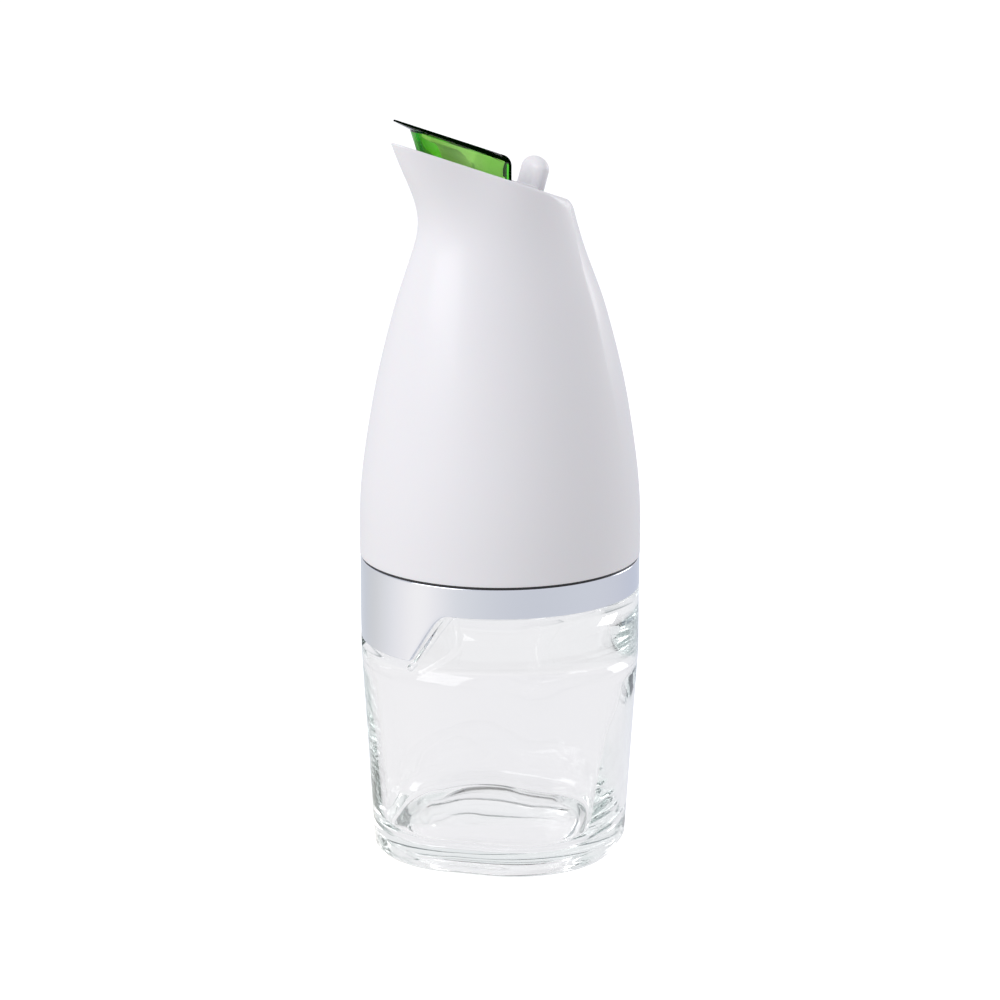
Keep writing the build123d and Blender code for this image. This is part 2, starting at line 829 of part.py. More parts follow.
# Silicone pad that shuts the pour hole
with BuildPart() as lid_seal:
    with BuildSketch(mouth_plane.offset(pad_foot)):
        with Locations((0, pour_hole_v)):
            Ellipse(
                pour_hole_half_width + coaming_wall + seal_pad_lap,
                pour_hole_half_length + coaming_wall + seal_pad_lap,
            )
    extrude(amount=seal_pad_thickness)
lid_seal.part.label = "lid_seal"

# Two screws from the underside of the arm into the bosses of the lid
with BuildPart() as lid_screws:
    with BuildSketch(mouth_plane.offset(carrier_foot)):
        with Locations(*lid_screw_spots):
            Circle(lid_head_radius)
    extrude(amount=lid_head_height)
    with BuildSketch(mouth_plane.offset(carrier_foot)):
        with Locations(*lid_screw_spots):
            Circle(lid_screw_radius)
    extrude(amount=lid_head_height + lid_screw_length)
lid_screws.part.label = "lid_screws"

export_step(glass_bottle.part, "parts/glass_bottle.step")
export_step(collar_ring.part, "parts/collar_ring.step")
export_step(neck_insert.part, "parts/neck_insert.step")
export_step(bottle_seal.part, "parts/bottle_seal.step")
export_step(rim_gasket.part, "parts/rim_gasket.step")
export_step(liner_seal.part, "parts/liner_seal.step")
export_step(pour_liner.part, "parts/pour_liner.step")
export_step(head_shell.part, "parts/head_shell.step")
export_step(mouth_deck.part, "parts/mouth_deck.step")
export_step(deck_gasket.part, "parts/deck_gasket.step")
export_step(deck_screws.part, "parts/deck_screws.step")
export_step(hinge_pin.part, "parts/hinge_pin.step")
export_step(return_spring.part, "parts/return_spring.step")
export_step(lid_cap.part, "parts/lid_cap.step")
export_step(thumb_lever.part, "parts/thumb_lever.step")
export_step(lid_seal.part, "parts/lid_seal.step")
export_step(lid_screws.part, "parts/lid_screws.step")
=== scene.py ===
"""Looks of a table cruet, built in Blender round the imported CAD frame.

The frame stands on the table: +Z is up, the spout and the collar's tab point to -Y and the lid's hinge runs
along X. Every length is in metres. The sloping mouth has its own coordinates: x across, v down the slope to
the back and h square to the rim.
"""
from __future__ import annotations

import logging
import math
from dataclasses import dataclass, field
from enum import Enum
from typing import Callable, Sequence

import bmesh
import bpy
import numpy as np
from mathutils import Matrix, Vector


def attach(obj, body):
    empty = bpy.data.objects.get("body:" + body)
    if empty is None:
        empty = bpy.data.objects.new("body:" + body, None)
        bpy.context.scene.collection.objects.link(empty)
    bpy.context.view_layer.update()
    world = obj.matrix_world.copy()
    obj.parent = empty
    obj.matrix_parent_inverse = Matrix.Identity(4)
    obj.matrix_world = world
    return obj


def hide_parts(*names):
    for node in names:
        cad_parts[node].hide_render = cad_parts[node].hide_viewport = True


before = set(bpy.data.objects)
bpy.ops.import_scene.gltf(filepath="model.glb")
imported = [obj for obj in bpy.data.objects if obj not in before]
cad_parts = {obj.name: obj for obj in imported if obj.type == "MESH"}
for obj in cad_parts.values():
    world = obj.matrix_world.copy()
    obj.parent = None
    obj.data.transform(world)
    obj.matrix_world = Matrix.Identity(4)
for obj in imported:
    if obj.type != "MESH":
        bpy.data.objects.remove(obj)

LOG = logging.getLogger("cruet")
MM = 0.001
WELD = 0.002 * MM
Loop = list[Vector]


class Body(str, Enum):
    """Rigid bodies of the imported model."""

    BOTTLE = "bottle"
    HEAD = "head"
    LID = "lid"


class Slot(str, Enum):
    """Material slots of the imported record."""

    GLASS = "clear_glass"
    CHROME = "chrome"
    WHITE = "white_plastic"
    DARK = "dark_plastic"
    LINER = "liner_plastic"
    SILICONE = "silicone"
    STEEL = "steel"
    GREEN = "green_plastic"


def smooth_step(low: float, high: float, value: float) -> float:
    """Ease from 0 at low to 1 at high.

    Args:
        low: Value where the result is 0.
        high: Value where the result is 1.
        value: Value to ease.

    Returns:
        The eased share, from 0 to 1.
    """
    share = min(max((value - low) / (high - low), 0.0), 1.0)
    return share * share * (3.0 - 2.0 * share)


def quarter(*turns: float) -> list[tuple[float, float]]:
    """Pairs of 1 - sine and 1 - cosine of angles in degrees, for the steps of a rounded edge."""
    return [(1.0 - math.sin(math.radians(turn)), 1.0 - math.cos(math.radians(turn))) for turn in turns]


def skin(name: str, loops: Sequence[Loop], ring: bool = False, sharp: float = 35.0) -> bpy.types.Object:
    """Make a closed mesh from loops of equal length.

    Args:
        name: Name of the new object.
        loops: Closed loops of points, each with the same number of points.
        ring: True joins the last loop to the first, False closes both ends with a fan.
        sharp: Angle in degrees past which an edge is shaded sharp.

    Returns:
        The new object, at the origin, with its faces outwards.
    """
    mesh = bmesh.new()
    rows = [[mesh.verts.new(point) for point in loop] for loop in loops]
    count = len(rows[0])
    pairs = list(zip(rows, rows[1:]))
    if ring:
        pairs.append((rows[-1], rows[0]))
    for low, high in pairs:
        for index in range(count):
            after = (index + 1) % count
            mesh.faces.new((low[index], low[after], high[after], high[index]))
    if not ring:
        for row in (rows[0], rows[-1]):
            middle = mesh.verts.new(sum((vert.co for vert in row), Vector()) / count)
            for index in range(count):
                mesh.faces.new((row[index], row[(index + 1) % count], middle))
    bmesh.ops.remove_doubles(mesh, verts=mesh.verts, dist=WELD)
    bmesh.ops.recalc_face_normals(mesh, faces=mesh.faces)
    return finish_mesh(name, mesh, sharp)


def finish_mesh(name: str, mesh: bmesh.types.BMesh, sharp: float) -> bpy.types.Object:
    """Turn a bmesh into a linked object with smooth shading.

    Args:
        name: Name of the new object.
        mesh: The bmesh, which is freed.
        sharp: Angle in degrees past which an edge is shaded sharp.

    Returns:
        The new object.
    """
    data = bpy.data.meshes.new(name)
    mesh.to_mesh(data)
    mesh.free()
    data.shade_smooth()
    data.set_sharp_from_angle(angle=math.radians(sharp))
    piece = bpy.data.objects.new(name, data)
    bpy.context.scene.collection.objects.link(piece)
    return piece


def cubic_rows(knots: np.ndarray, values: np.ndarray, at: np.ndarray) -> np.ndarray:
    """Interpolate rows of values with a natural cubic spline.

    Args:
        knots: Rising knots, one for each row.
        values: One row of values for each knot.
        at: Where the spline is read.

    Returns:
        One row of values for each place.
    """
    steps = np.diff(knots)
    count = len(knots)
    matrix = np.eye(count)
    right = np.zeros_like(values)
    for row in range(1, count - 1):
        before, after = steps[row - 1], steps[row]
        matrix[row, row - 1 : row + 2] = before, 2 * (before + after), after
        rise = (values[row + 1] - values[row]) / after - (values[row] - values[row - 1]) / before
        right[row] = 6 * rise
    bend = np.linalg.solve(matrix, right)
    cell = np.clip(np.searchsorted(knots, at, side="right") - 1, 0, count - 2)
    step = steps[cell][:, None]
    ahead = (knots[cell + 1] - at)[:, None] / step
    behind = (at - knots[cell])[:, None] / step
    curve = ((ahead**3 - ahead) * bend[cell] + (behind**3 - behind) * bend[cell + 1]) * step**2 / 6
    return ahead * values[cell] + behind * values[cell + 1] + curve


@dataclass(frozen=True)
class MouthFrame:
    """Coordinates of the sloping mouth."""

    height: float = 176.5 * MM
    slope: float = 0.375

    @property
    def tilt(self) -> float:
        """Tilt of the mouth in radians."""
        return math.atan(self.slope)

    @property
    def normal(self) -> Vector:
        """Direction square to the rim."""
        return Vector((0.0, math.sin(self.tilt), math.cos(self.tilt)))

    def at(self, x: float, v: float, h: float) -> Vector:
        """Point in the frame for mouth coordinates.

        Args:
            x: Place across the mouth.
            v: Place down the slope to the back.
            h: Height square to the rim.

        Returns:
            The point in the frame.
        """
        lean, rise = math.sin(self.tilt), math.cos(self.tilt)
        return Vector((x, v * rise + h * lean, self.height - v * lean + h * rise))


MOUTH = MouthFrame()


# Materials


class Nodes:
    """Small helper that builds a node tree."""

    def __init__(self, tree: bpy.types.NodeTree) -> None:
        """Keep the tree that nodes are added to."""
        self.tree = tree

    def put(self, value: object, socket: bpy.types.NodeSocket) -> None:
        """Feed an input with an output socket, or set it to a number, vector or colour."""
        if isinstance(value, bpy.types.NodeSocket):
            self.tree.links.new(value, socket)
        else:
            socket.default_value = value

    def add(self, kind: str, *first: object, **values: object) -> bpy.types.Node:
        """Add a node and feed its inputs.

        Args:
            kind: Type of the node.
            first: What feeds its first inputs, in their order.
            values: Properties of the node, or what feeds an input, with its name's spaces as underscores.

        Returns:
            The new node.
        """
        node = self.tree.nodes.new(kind)
        for name, value in values.items():
            if hasattr(node, name):
                setattr(node, name, value)
            else:
                self.put(value, node.inputs[name.replace("_", " ")])
        for value, socket in zip(first, node.inputs):
            self.put(value, socket)
        return node

    def math(self, operation: str, *values: bpy.types.NodeSocket | float) -> bpy.types.NodeSocket:
        """Result of a math node fed with sockets or numbers."""
        return self.add("ShaderNodeMath", *values, operation=operation).outputs[0]

    def vector(self, *values: bpy.types.NodeSocket | float) -> bpy.types.NodeSocket:
        """Vector joined from three sockets or numbers."""
        return self.add("ShaderNodeCombineXYZ", *values).outputs[0]

    def mix(self, *values: bpy.types.NodeSocket) -> bpy.types.NodeSocket:
        """Shader mixed by a share from a first and a second one."""
        return self.add("ShaderNodeMixShader", *values).outputs[0]


def moulded_surface() -> bpy.types.NodeTree:
    """Build the shader group that gives a moulded or polished surface its fine unevenness.

    Returns:
        The group, with a colour, a roughness and a normal as outputs.
    """
    name = "moulded_surface"
    if name in bpy.data.node_groups:
        return bpy.data.node_groups[name]
    group = bpy.data.node_groups.new(name, "ShaderNodeTree")
    for label, kind in (
        ("Color", "Color"), ("Tone", "Float"), ("Roughness", "Float"), ("Roughness Spread", "Float"),
        ("Cloud Scale", "Float"), ("Grain Scale", "Float"), ("Grain Depth", "Float"),
    ):
        group.interface.new_socket(label, in_out="INPUT", socket_type="NodeSocket" + kind)
    for label, kind in (("Color", "Color"), ("Roughness", "Float"), ("Normal", "Vector")):
        group.interface.new_socket(label, in_out="OUTPUT", socket_type="NodeSocket" + kind)
    nodes = Nodes(group)
    given = nodes.add("NodeGroupInput").outputs
    place = nodes.add("ShaderNodeTexCoord").outputs["Object"]
    cloud = nodes.add("ShaderNodeTexNoise", Vector=place, Scale=given["Cloud Scale"], Detail=3.0)
    shift = nodes.math("SUBTRACT", cloud.outputs["Fac"], 0.5)
    tone = nodes.math("MULTIPLY_ADD", shift, given["Tone"], 1.0)
    paint = nodes.add("ShaderNodeVectorMath", given["Color"], operation="SCALE", Scale=tone)
    gloss = nodes.math("MULTIPLY_ADD", shift, given["Roughness Spread"], given["Roughness"])
    gloss.node.use_clamp = True
    grain = nodes.add("ShaderNodeTexNoise", Vector=place, Scale=given["Grain Scale"], Detail=2.0)
    bump = nodes.add(
        "ShaderNodeBump", Strength=given["Grain Depth"], Distance=0.2 * MM, Height=grain.outputs["Fac"],
    )
    nodes.add("NodeGroupOutput", Color=paint.outputs[0], Roughness=gloss, Normal=bump.outputs["Normal"])
    return group


@dataclass(frozen=True)
class Finish:
    """One opaque or clear finish, dressed with the moulded surface group."""

    name: str
    color: tuple[float, float, float]
    roughness: float
    tone: float = 0.02
    spread: float = 0.03
    cloud_scale: float = 30.0
    grain_scale: float = 900.0
    grain_depth: float = 0.02
    metallic: float = 0.0
    ior: float = 1.5
    coat: float = 0.0
    coat_roughness: float = 0.05
    transmission: float = 0.0
    specular: float = 0.5
    subsurface: float = 0.0
    subsurface_scale: float = 2.0 * MM
    absorb_color: tuple[float, float, float] | None = None
    absorb_density: float = 0.0

    def material(self) -> bpy.types.Material:
        """Build the material once and return it.

        Returns:
            The material of this finish.
        """
        found = bpy.data.materials.get(self.name)
        if found:
            return found
        material = bpy.data.materials.new(self.name)
        material.use_nodes = True
        material.node_tree.nodes.clear()
        nodes = Nodes(material.node_tree)
        out = nodes.add("ShaderNodeOutputMaterial")
        shader = nodes.add(
            "ShaderNodeBsdfPrincipled", Base_Color=(*self.color, 1.0), Roughness=self.roughness,
            Metallic=self.metallic, IOR=self.ior, Specular_IOR_Level=self.specular, Coat_Weight=self.coat,
            Coat_Roughness=self.coat_roughness, Transmission_Weight=self.transmission,
            Subsurface_Weight=self.subsurface, Subsurface_Scale=self.subsurface_scale,
        )
        surface = nodes.add(
            "ShaderNodeGroup", node_tree=moulded_surface(), Color=(*self.color, 1.0), Tone=self.tone,
            Roughness=self.roughness, Roughness_Spread=self.spread, Cloud_Scale=self.cloud_scale,
            Grain_Scale=self.grain_scale, Grain_Depth=self.grain_depth,
        ).outputs
        if self.tone:
            nodes.put(surface["Color"], shader.inputs["Base Color"])
        if self.spread:
            nodes.put(surface["Roughness"], shader.inputs["Roughness"])
        nodes.put(surface["Normal"], shader.inputs["Normal"])
        nodes.put(self.over(nodes, shader.outputs["BSDF"]), out.inputs["Surface"])
        if self.absorb_color:
            volume = nodes.add(
                "ShaderNodeVolumeAbsorption", Color=(*self.absorb_color, 1.0), Density=self.absorb_density,
            )
            nodes.put(volume.outputs["Volume"], out.inputs["Volume"])
        return material

    def over(self, nodes: Nodes, shader: bpy.types.NodeSocket) -> bpy.types.NodeSocket:
        """Shader that is shown; a finish with more than one layer mixes its own over this one."""
        return shader


@dataclass(frozen=True)
class TintedFinishWithPaintedShade(Finish):
    """Tinted clear plastic with painted shade: a deeper tint on its nose, and a near-black opaque layer along
    its plate's edge and its thick rear corners, where light through the plastic comes out dark.
    """

    # Painted shade: near-black opaque colour over the plate's edge and the thick rear corners, standing in
    # for the darkness of light that passes a long way through them.
    painted_edge_shade_color: tuple[float, float, float] = (0.0, 0.004, 0.0)
    painted_edge_shade_roughness: float = 0.3
    plate_foot: tuple[float, float] = (4.9 * MM, 4.0 * MM)
    plate_run: tuple[float, float] = (-28.5 * MM, -5.0 * MM)
    plate_blur: float = 0.12 * MM
    edge_tilt: tuple[float, float] = (0.75, 0.6)
    corner: tuple[float, float] = (0.37, 0.42)
    rear: tuple[float, float] = (-5.0 * MM, -4.2 * MM)
    # Painted shade: a deeper green tint that darkens the lid's nose and blends out between the two places of
    # nose.
    painted_nose_shade_color: tuple[float, float, float] = (0.44, 0.68, 0.22)
    nose: tuple[float, float] = (-22.0 * MM, -9.0 * MM)

    @staticmethod
    def step(nodes: Nodes, source: bpy.types.NodeSocket, low: float, high: float) -> bpy.types.NodeSocket:
        """Mask that rises from 0 to 1 between two values of a socket."""
        ease = nodes.add(
            "ShaderNodeMapRange", source, interpolation_type="SMOOTHSTEP", From_Min=low, From_Max=high,
        )
        return ease.outputs["Result"]

    @staticmethod
    def dot(nodes: Nodes, source: bpy.types.NodeSocket, along: Vector) -> bpy.types.NodeSocket:
        """Length of a vector socket along a direction."""
        return nodes.add("ShaderNodeVectorMath", source, along, operation="DOT_PRODUCT").outputs["Value"]

    def over(self, nodes: Nodes, shader: bpy.types.NodeSocket) -> bpy.types.NodeSocket:
        """Paint shade onto the clear plastic: a deeper tint on the nose and a near-black opaque layer mixed
        over the edge.

        Args:
            nodes: Helper of the material's tree.
            shader: The clear plastic.

        Returns:
            The mixed shader.
        """
        place = nodes.add("ShaderNodeTexCoord").outputs
        y = nodes.add("ShaderNodeSeparateXYZ", place["Object"]).outputs["Y"]
        # Painted shade: the nose takes the deeper tint.
        painted_nose_shade = nodes.add("ShaderNodeMix", self.step(nodes, y, *self.nose), data_type="RGBA")
        nodes.put((*self.painted_nose_shade_color, 1.0), painted_nose_shade.inputs[6])
        nodes.put((*self.color, 1.0), painted_nose_shade.inputs[7])
        nodes.put(painted_nose_shade.outputs[2], shader.node.inputs["Base Color"])
        # Painted shade on the thick rear corners, where they are seen edge-on.
        facing = nodes.add("ShaderNodeLayerWeight", Blend=0.5).outputs["Facing"]
        behind = nodes.math(
            "MULTIPLY", self.step(nodes, facing, *self.corner), self.step(nodes, y, *self.rear),
        )
        start, end = (MOUTH.at(0.0, v, h) for v, h in zip(self.plate_run, self.plate_foot))
        upward = Vector((0.0, start.z - end.z, end.y - start.y)).normalized()
        level = upward.dot(start)
        height = self.dot(nodes, place["Object"], upward)
        above = self.step(nodes, height, level, level + self.plate_blur)
        flat = nodes.math("ABSOLUTE", self.dot(nodes, place["Normal"], MOUTH.normal))
        edge = nodes.math("MULTIPLY", above, self.step(nodes, flat, *self.edge_tilt))
        # Painted shade: a near-black opaque layer mixed over the plate's edge and the rear corners.
        dark = nodes.add(
            "ShaderNodeBsdfPrincipled", Base_Color=(*self.painted_edge_shade_color, 1.0), Roughness=self.painted_edge_shade_roughness,
            Specular_IOR_Level=0.0,
        )
        return nodes.mix(nodes.math("MAXIMUM", edge, behind), shader, dark.outputs["BSDF"])


GLASS = Finish(
    "pressed_clear_glass", (1.0, 1.0, 1.0), 0.0, tone=0.0, spread=0.0, grain_scale=55.0, grain_depth=0.05,
    ior=1.5, transmission=1.0, absorb_color=(0.40, 0.60, 0.55), absorb_density=3.0,
)
CHROME = Finish("bright_chrome", (0.66, 0.69, 0.76), 0.05, tone=0.02, spread=0.03, grain_scale=400.0,
                grain_depth=0.01, metallic=1.0)
WHITE = Finish("white_gloss_plastic", (0.84, 0.83, 0.86), 0.38, tone=0.015, spread=0.05, grain_depth=0.03,
               subsurface=0.05, coat=0.1)
GREEN = TintedFinishWithPaintedShade(
    "tinted_green_plastic", (1.0, 1.0, 1.0), 0.03, tone=0.0, spread=0.02, grain_depth=0.0, ior=1.49,
    transmission=1.0, specular=0.03, absorb_color=(0.56, 0.955, 0.09), absorb_density=2000.0,
)
# Near black: used on the neck insert, whose flange shows as the dark line between the white shell and the
# chrome collar.
DARK = Finish("matt_dark_plastic", (0.012, 0.012, 0.014), 0.45, tone=0.2, grain_depth=0.1)
LINER = Finish("natural_liner_plastic", (0.78, 0.78, 0.76), 0.4, grain_depth=0.05)
SILICONE = Finish("milky_silicone", (0.75, 0.76, 0.75), 0.35, subsurface=0.3, ior=1.41, grain_depth=0.05)
STEEL = Finish("drawn_steel", (0.58, 0.58, 0.6), 0.25, tone=0.1, grain_scale=2500.0, grain_depth=0.05,
               metallic=1.0)


def dress(piece: bpy.types.Object, finish: Finish, slot: Slot, body: Body, *nodes: str) -> bpy.types.Object:
    """Give a new piece its finish and tie it to the frame.

    Args:
        piece: The new piece, at rest.
        finish: Finish of the piece.
        slot: Material slot of the record that it stands for; it is not used.
        body: Body that it moves with.
        nodes: CAD nodes that it replaces.

    Returns:
        The piece.
    """
    piece.data.materials.clear()
    piece.data.materials.append(finish.material())
    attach(piece, body.value)
    if nodes:
        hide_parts(*nodes)
    LOG.info("%s: %d faces on %s", piece.name, len(piece.data.polygons), body.value)
    return piece


# Glass bottle


@dataclass
class Bottle:
    """Pressed glass bottle: rounded-square foot, round shoulder, thick floor and a recess for the tab."""

    body_radius: float = 36.0 * MM
    shoulder_height: float = 69.9 * MM
    taper_height: float = 52.5 * MM
    foot_width: float = 62.8 * MM
    foot_corner: float = 26.0 * MM
    heel_radius: float = 2.2 * MM
    cavity_width: float = 54.0 * MM
    cavity_corner: float = 18.0 * MM
    cavity_radius: float = 33.4 * MM
    cavity_height: float = 50.0 * MM
    floor_height: float = 5.4 * MM
    floor_fillet: float = 5.0 * MM
    neck_radius: float = 30.6 * MM
    neck_bore: float = 27.0 * MM
    bore_foot: float = 66.75 * MM
    neck_top: float = 86.0 * MM
    lip_round: float = 1.2 * MM
    push_up_depth: float = 2.0 * MM
    push_up_width: float = 44.0 * MM
    push_up_corner: float = 15.0 * MM
    push_up_top: float = 40.6 * MM
    push_up_rows: int = 8
    fine_from: float = 53.5 * MM
    body_rows: tuple[int, int] = (27, 75)
    shoulder_round: tuple[tuple[float, float], ...] = ((0.15 * MM, 0.15 * MM), (0.5 * MM, 0.0))
    shoulder_soft: float = 0.5 * MM
    neck_soft: float = 0.4 * MM
    cavity_rows: tuple[int, int] = (14, 17)
    round_step: int = 9
    lip_step: int = 15
    recess_depth: float = 1.42 * MM
    recess_side: tuple[float, float] = (1.55 * MM, 2.35 * MM)
    recess_foot: tuple[float, float] = (0.3 * MM, 2.2 * MM)
    groove_middle: float = 1.2 * MM
    groove_half: float = 1.1 * MM
    groove_depth: float = 0.5 * MM
    pit: tuple[float, float] = (13.5 * MM, 55.6 * MM)
    pit_radius: float = 1.45 * MM
    pit_depth: float = 1.3 * MM
    pit_power: float = 0.7
    tab_foot: float = 56.7 * MM
    tab_foot_half: float = 13.6 * MM
    tab_slope: tuple[float, float] = (0.598, 0.801)
    angle_steps: tuple[tuple[float, float], ...] = ((18.5, 0.75), (43.5, 0.2), (360.0, 1.6))
    angles: list[float] = field(default_factory=list)

    def __post_init__(self) -> None:
        """Lay out the angles round the bottle, finest beside the tab and coarse at the back."""
        angle = first = -self.angle_steps[1][0]
        while angle < 360.0 + first - 0.01:
            self.angles.append(math.radians(angle - 90.0))
            angle += next(step for reach, step in self.angle_steps if abs(angle) < reach)

    @staticmethod
    def square_radius(angle: float, width: float, corner: float) -> float:
        """Radius of a rounded square that stands on its corners.

        Args:
            angle: Angle round the axis, from +X.
            width: Width across the flats.
            corner: Corner radius.

        Returns:
            The radius at that angle.
        """
        turn = (angle + math.pi / 4) % (math.pi / 2) - math.pi / 4
        reach = (width / 2 - corner) * math.sqrt(2)
        edge = corner * math.sqrt(0.5)
        if abs(turn) <= math.atan2(edge, reach + edge):
            return reach * math.cos(turn) + math.sqrt(corner**2 - (reach * math.sin(turn)) ** 2)
        return width / 2 / math.cos(math.pi / 4 - abs(turn))

    def outer_radius(self, angle: float, z: float) -> float:
        """Outer radius of the body without the recess."""
        share = min(z / self.taper_height, 1.0)
        square = self.square_radius(angle, self.foot_width, self.foot_corner)
        radius = square + (self.body_radius - square) * share
        if z < self.heel_radius:
            radius -= self.heel_radius - math.sqrt(self.heel_radius**2 - (self.heel_radius - z) ** 2)
        return radius

    def recess(self, angle: float, z: float) -> float:
        """Depth of the recess for the tab at a place on the outside.

        Args:
            angle: Angle round the axis, from +X.
            z: Height.

        Returns:
            How far the glass stands back there: the seat of the tab, the groove along the tab's slanted
            sides and the pit that ends it.
        """
        across = abs((angle + math.pi / 2 + math.pi) % (2 * math.pi) - math.pi) * self.body_radius
        along, out = self.tab_slope
        side = (across - self.tab_foot_half) * out - (z - self.tab_foot) * along
        foot = self.tab_foot - z
        seat = 1.0 - smooth_step(*self.recess_foot, foot)
        depth = self.recess_depth * seat * (1.0 - smooth_step(*self.recess_side, side))
        middle = (side - self.groove_middle) / self.groove_half
        depth += self.groove_depth * max(1.0 - middle**2, 0.0) * seat
        away = math.hypot(across - self.pit[0], z - self.pit[1]) / self.pit_radius
        return max(depth, self.pit_depth * max(1.0 - away**2, 0.0) ** self.pit_power)

    def inner_radius(self, angle: float, z: float) -> float:
        """Radius of the cavity above its floor fillet."""
        if z <= self.cavity_height:
            share = (z - self.floor_height) / (self.cavity_height - self.floor_height)
            square = self.square_radius(angle, self.cavity_width, self.cavity_corner)
            return square + (self.cavity_radius - square) * share
        ease = smooth_step(self.cavity_height, self.bore_foot, z)
        return self.cavity_radius + (self.neck_bore - self.cavity_radius) * ease

    def loop(self, radius: Callable[[float], float], z: float) -> Loop:
        """Closed loop at one height.

        Args:
            radius: Radius for each angle.
            z: Height of the loop.

        Returns:
            The points of the loop.
        """
        return [Vector((radius(a) * math.cos(a), radius(a) * math.sin(a), z)) for a in self.angles]

    def outside(self) -> list[Loop]:
        """Lay out the outside.

        Returns:
            Its loops, from the middle of the push-up to the top of the neck.
        """
        loops = []
        for share in np.linspace(0.0, 1.0, self.push_up_rows + 1):
            width = self.push_up_top + (self.push_up_width - self.push_up_top) * share
            depth = self.push_up_depth * (1.0 - smooth_step(0.0, 1.0, share))
            loops.append(self.loop(lambda a, w=width: self.square_radius(a, w, self.push_up_corner), depth))
        top = self.shoulder_height
        heights = [self.heel_radius * rise for _, rise in quarter(*range(0, 91, self.round_step))]
        heights += list(np.linspace(self.heel_radius, self.fine_from, self.body_rows[0] + 1)[1:])
        heights += list(np.linspace(self.fine_from, top - self.shoulder_soft, self.body_rows[1] + 1)[1:])
        for z in heights:
            loops.append(self.loop(lambda a, z=z: self.outer_radius(a, z) - self.recess(a, z), z))
        for back, drop in self.shoulder_round:
            radius = self.body_radius - back
            loops.append(self.loop(lambda a, r=radius: r - self.recess(a, top), top - drop))
        for z in (top, top + self.neck_soft, self.neck_top - self.lip_round):
            loops.append(self.loop(lambda a: self.neck_radius, z))
        return loops

    def lip(self) -> list[Loop]:
        """Lay out the rounded lip.

        Returns:
            Its loops, from the outside to the bore.
        """
        loops = []
        turns = list(range(self.lip_step, 91, self.lip_step))
        for radius, side, steps in (
            (self.neck_radius, -1, turns), (self.neck_bore, 1, turns[::-1] + [0]),
        ):
            for down, back in quarter(*steps):
                z = self.neck_top - self.lip_round * down
                loops.append(self.loop(lambda a, r=radius + side * self.lip_round * back: r, z))
        return loops

    def inside(self) -> list[Loop]:
        """Lay out the cavity.

        Returns:
            Its loops, from the bore down to the middle of the floor.
        """
        upper, lower = self.cavity_rows
        middle = self.floor_height + self.floor_fillet
        heights = [self.bore_foot] + list(np.linspace(self.bore_foot, self.cavity_height, upper + 1)[1:])
        heights += list(np.linspace(self.cavity_height, middle, lower + 1)[1:])
        loops = [self.loop(lambda a, z=z: self.inner_radius(a, z), z) for z in heights]
        for up, back in quarter(*range(self.round_step, 91, self.round_step)):
            z = self.floor_height + self.floor_fillet * up
            loops.append(self.loop(lambda a, b=self.floor_fillet * back, z=z: self.inner_radius(a, z) - b, z))
        return loops

    def build(self) -> None:
        """Build the bottle and dress it."""
        piece = skin("bottle_glass", self.outside() + self.lip() + self.inside())
        dress(piece, GLASS, Slot.GLASS, Body.BOTTLE, "glass_bottle")
        piece.visible_shadow = False


# Head shell


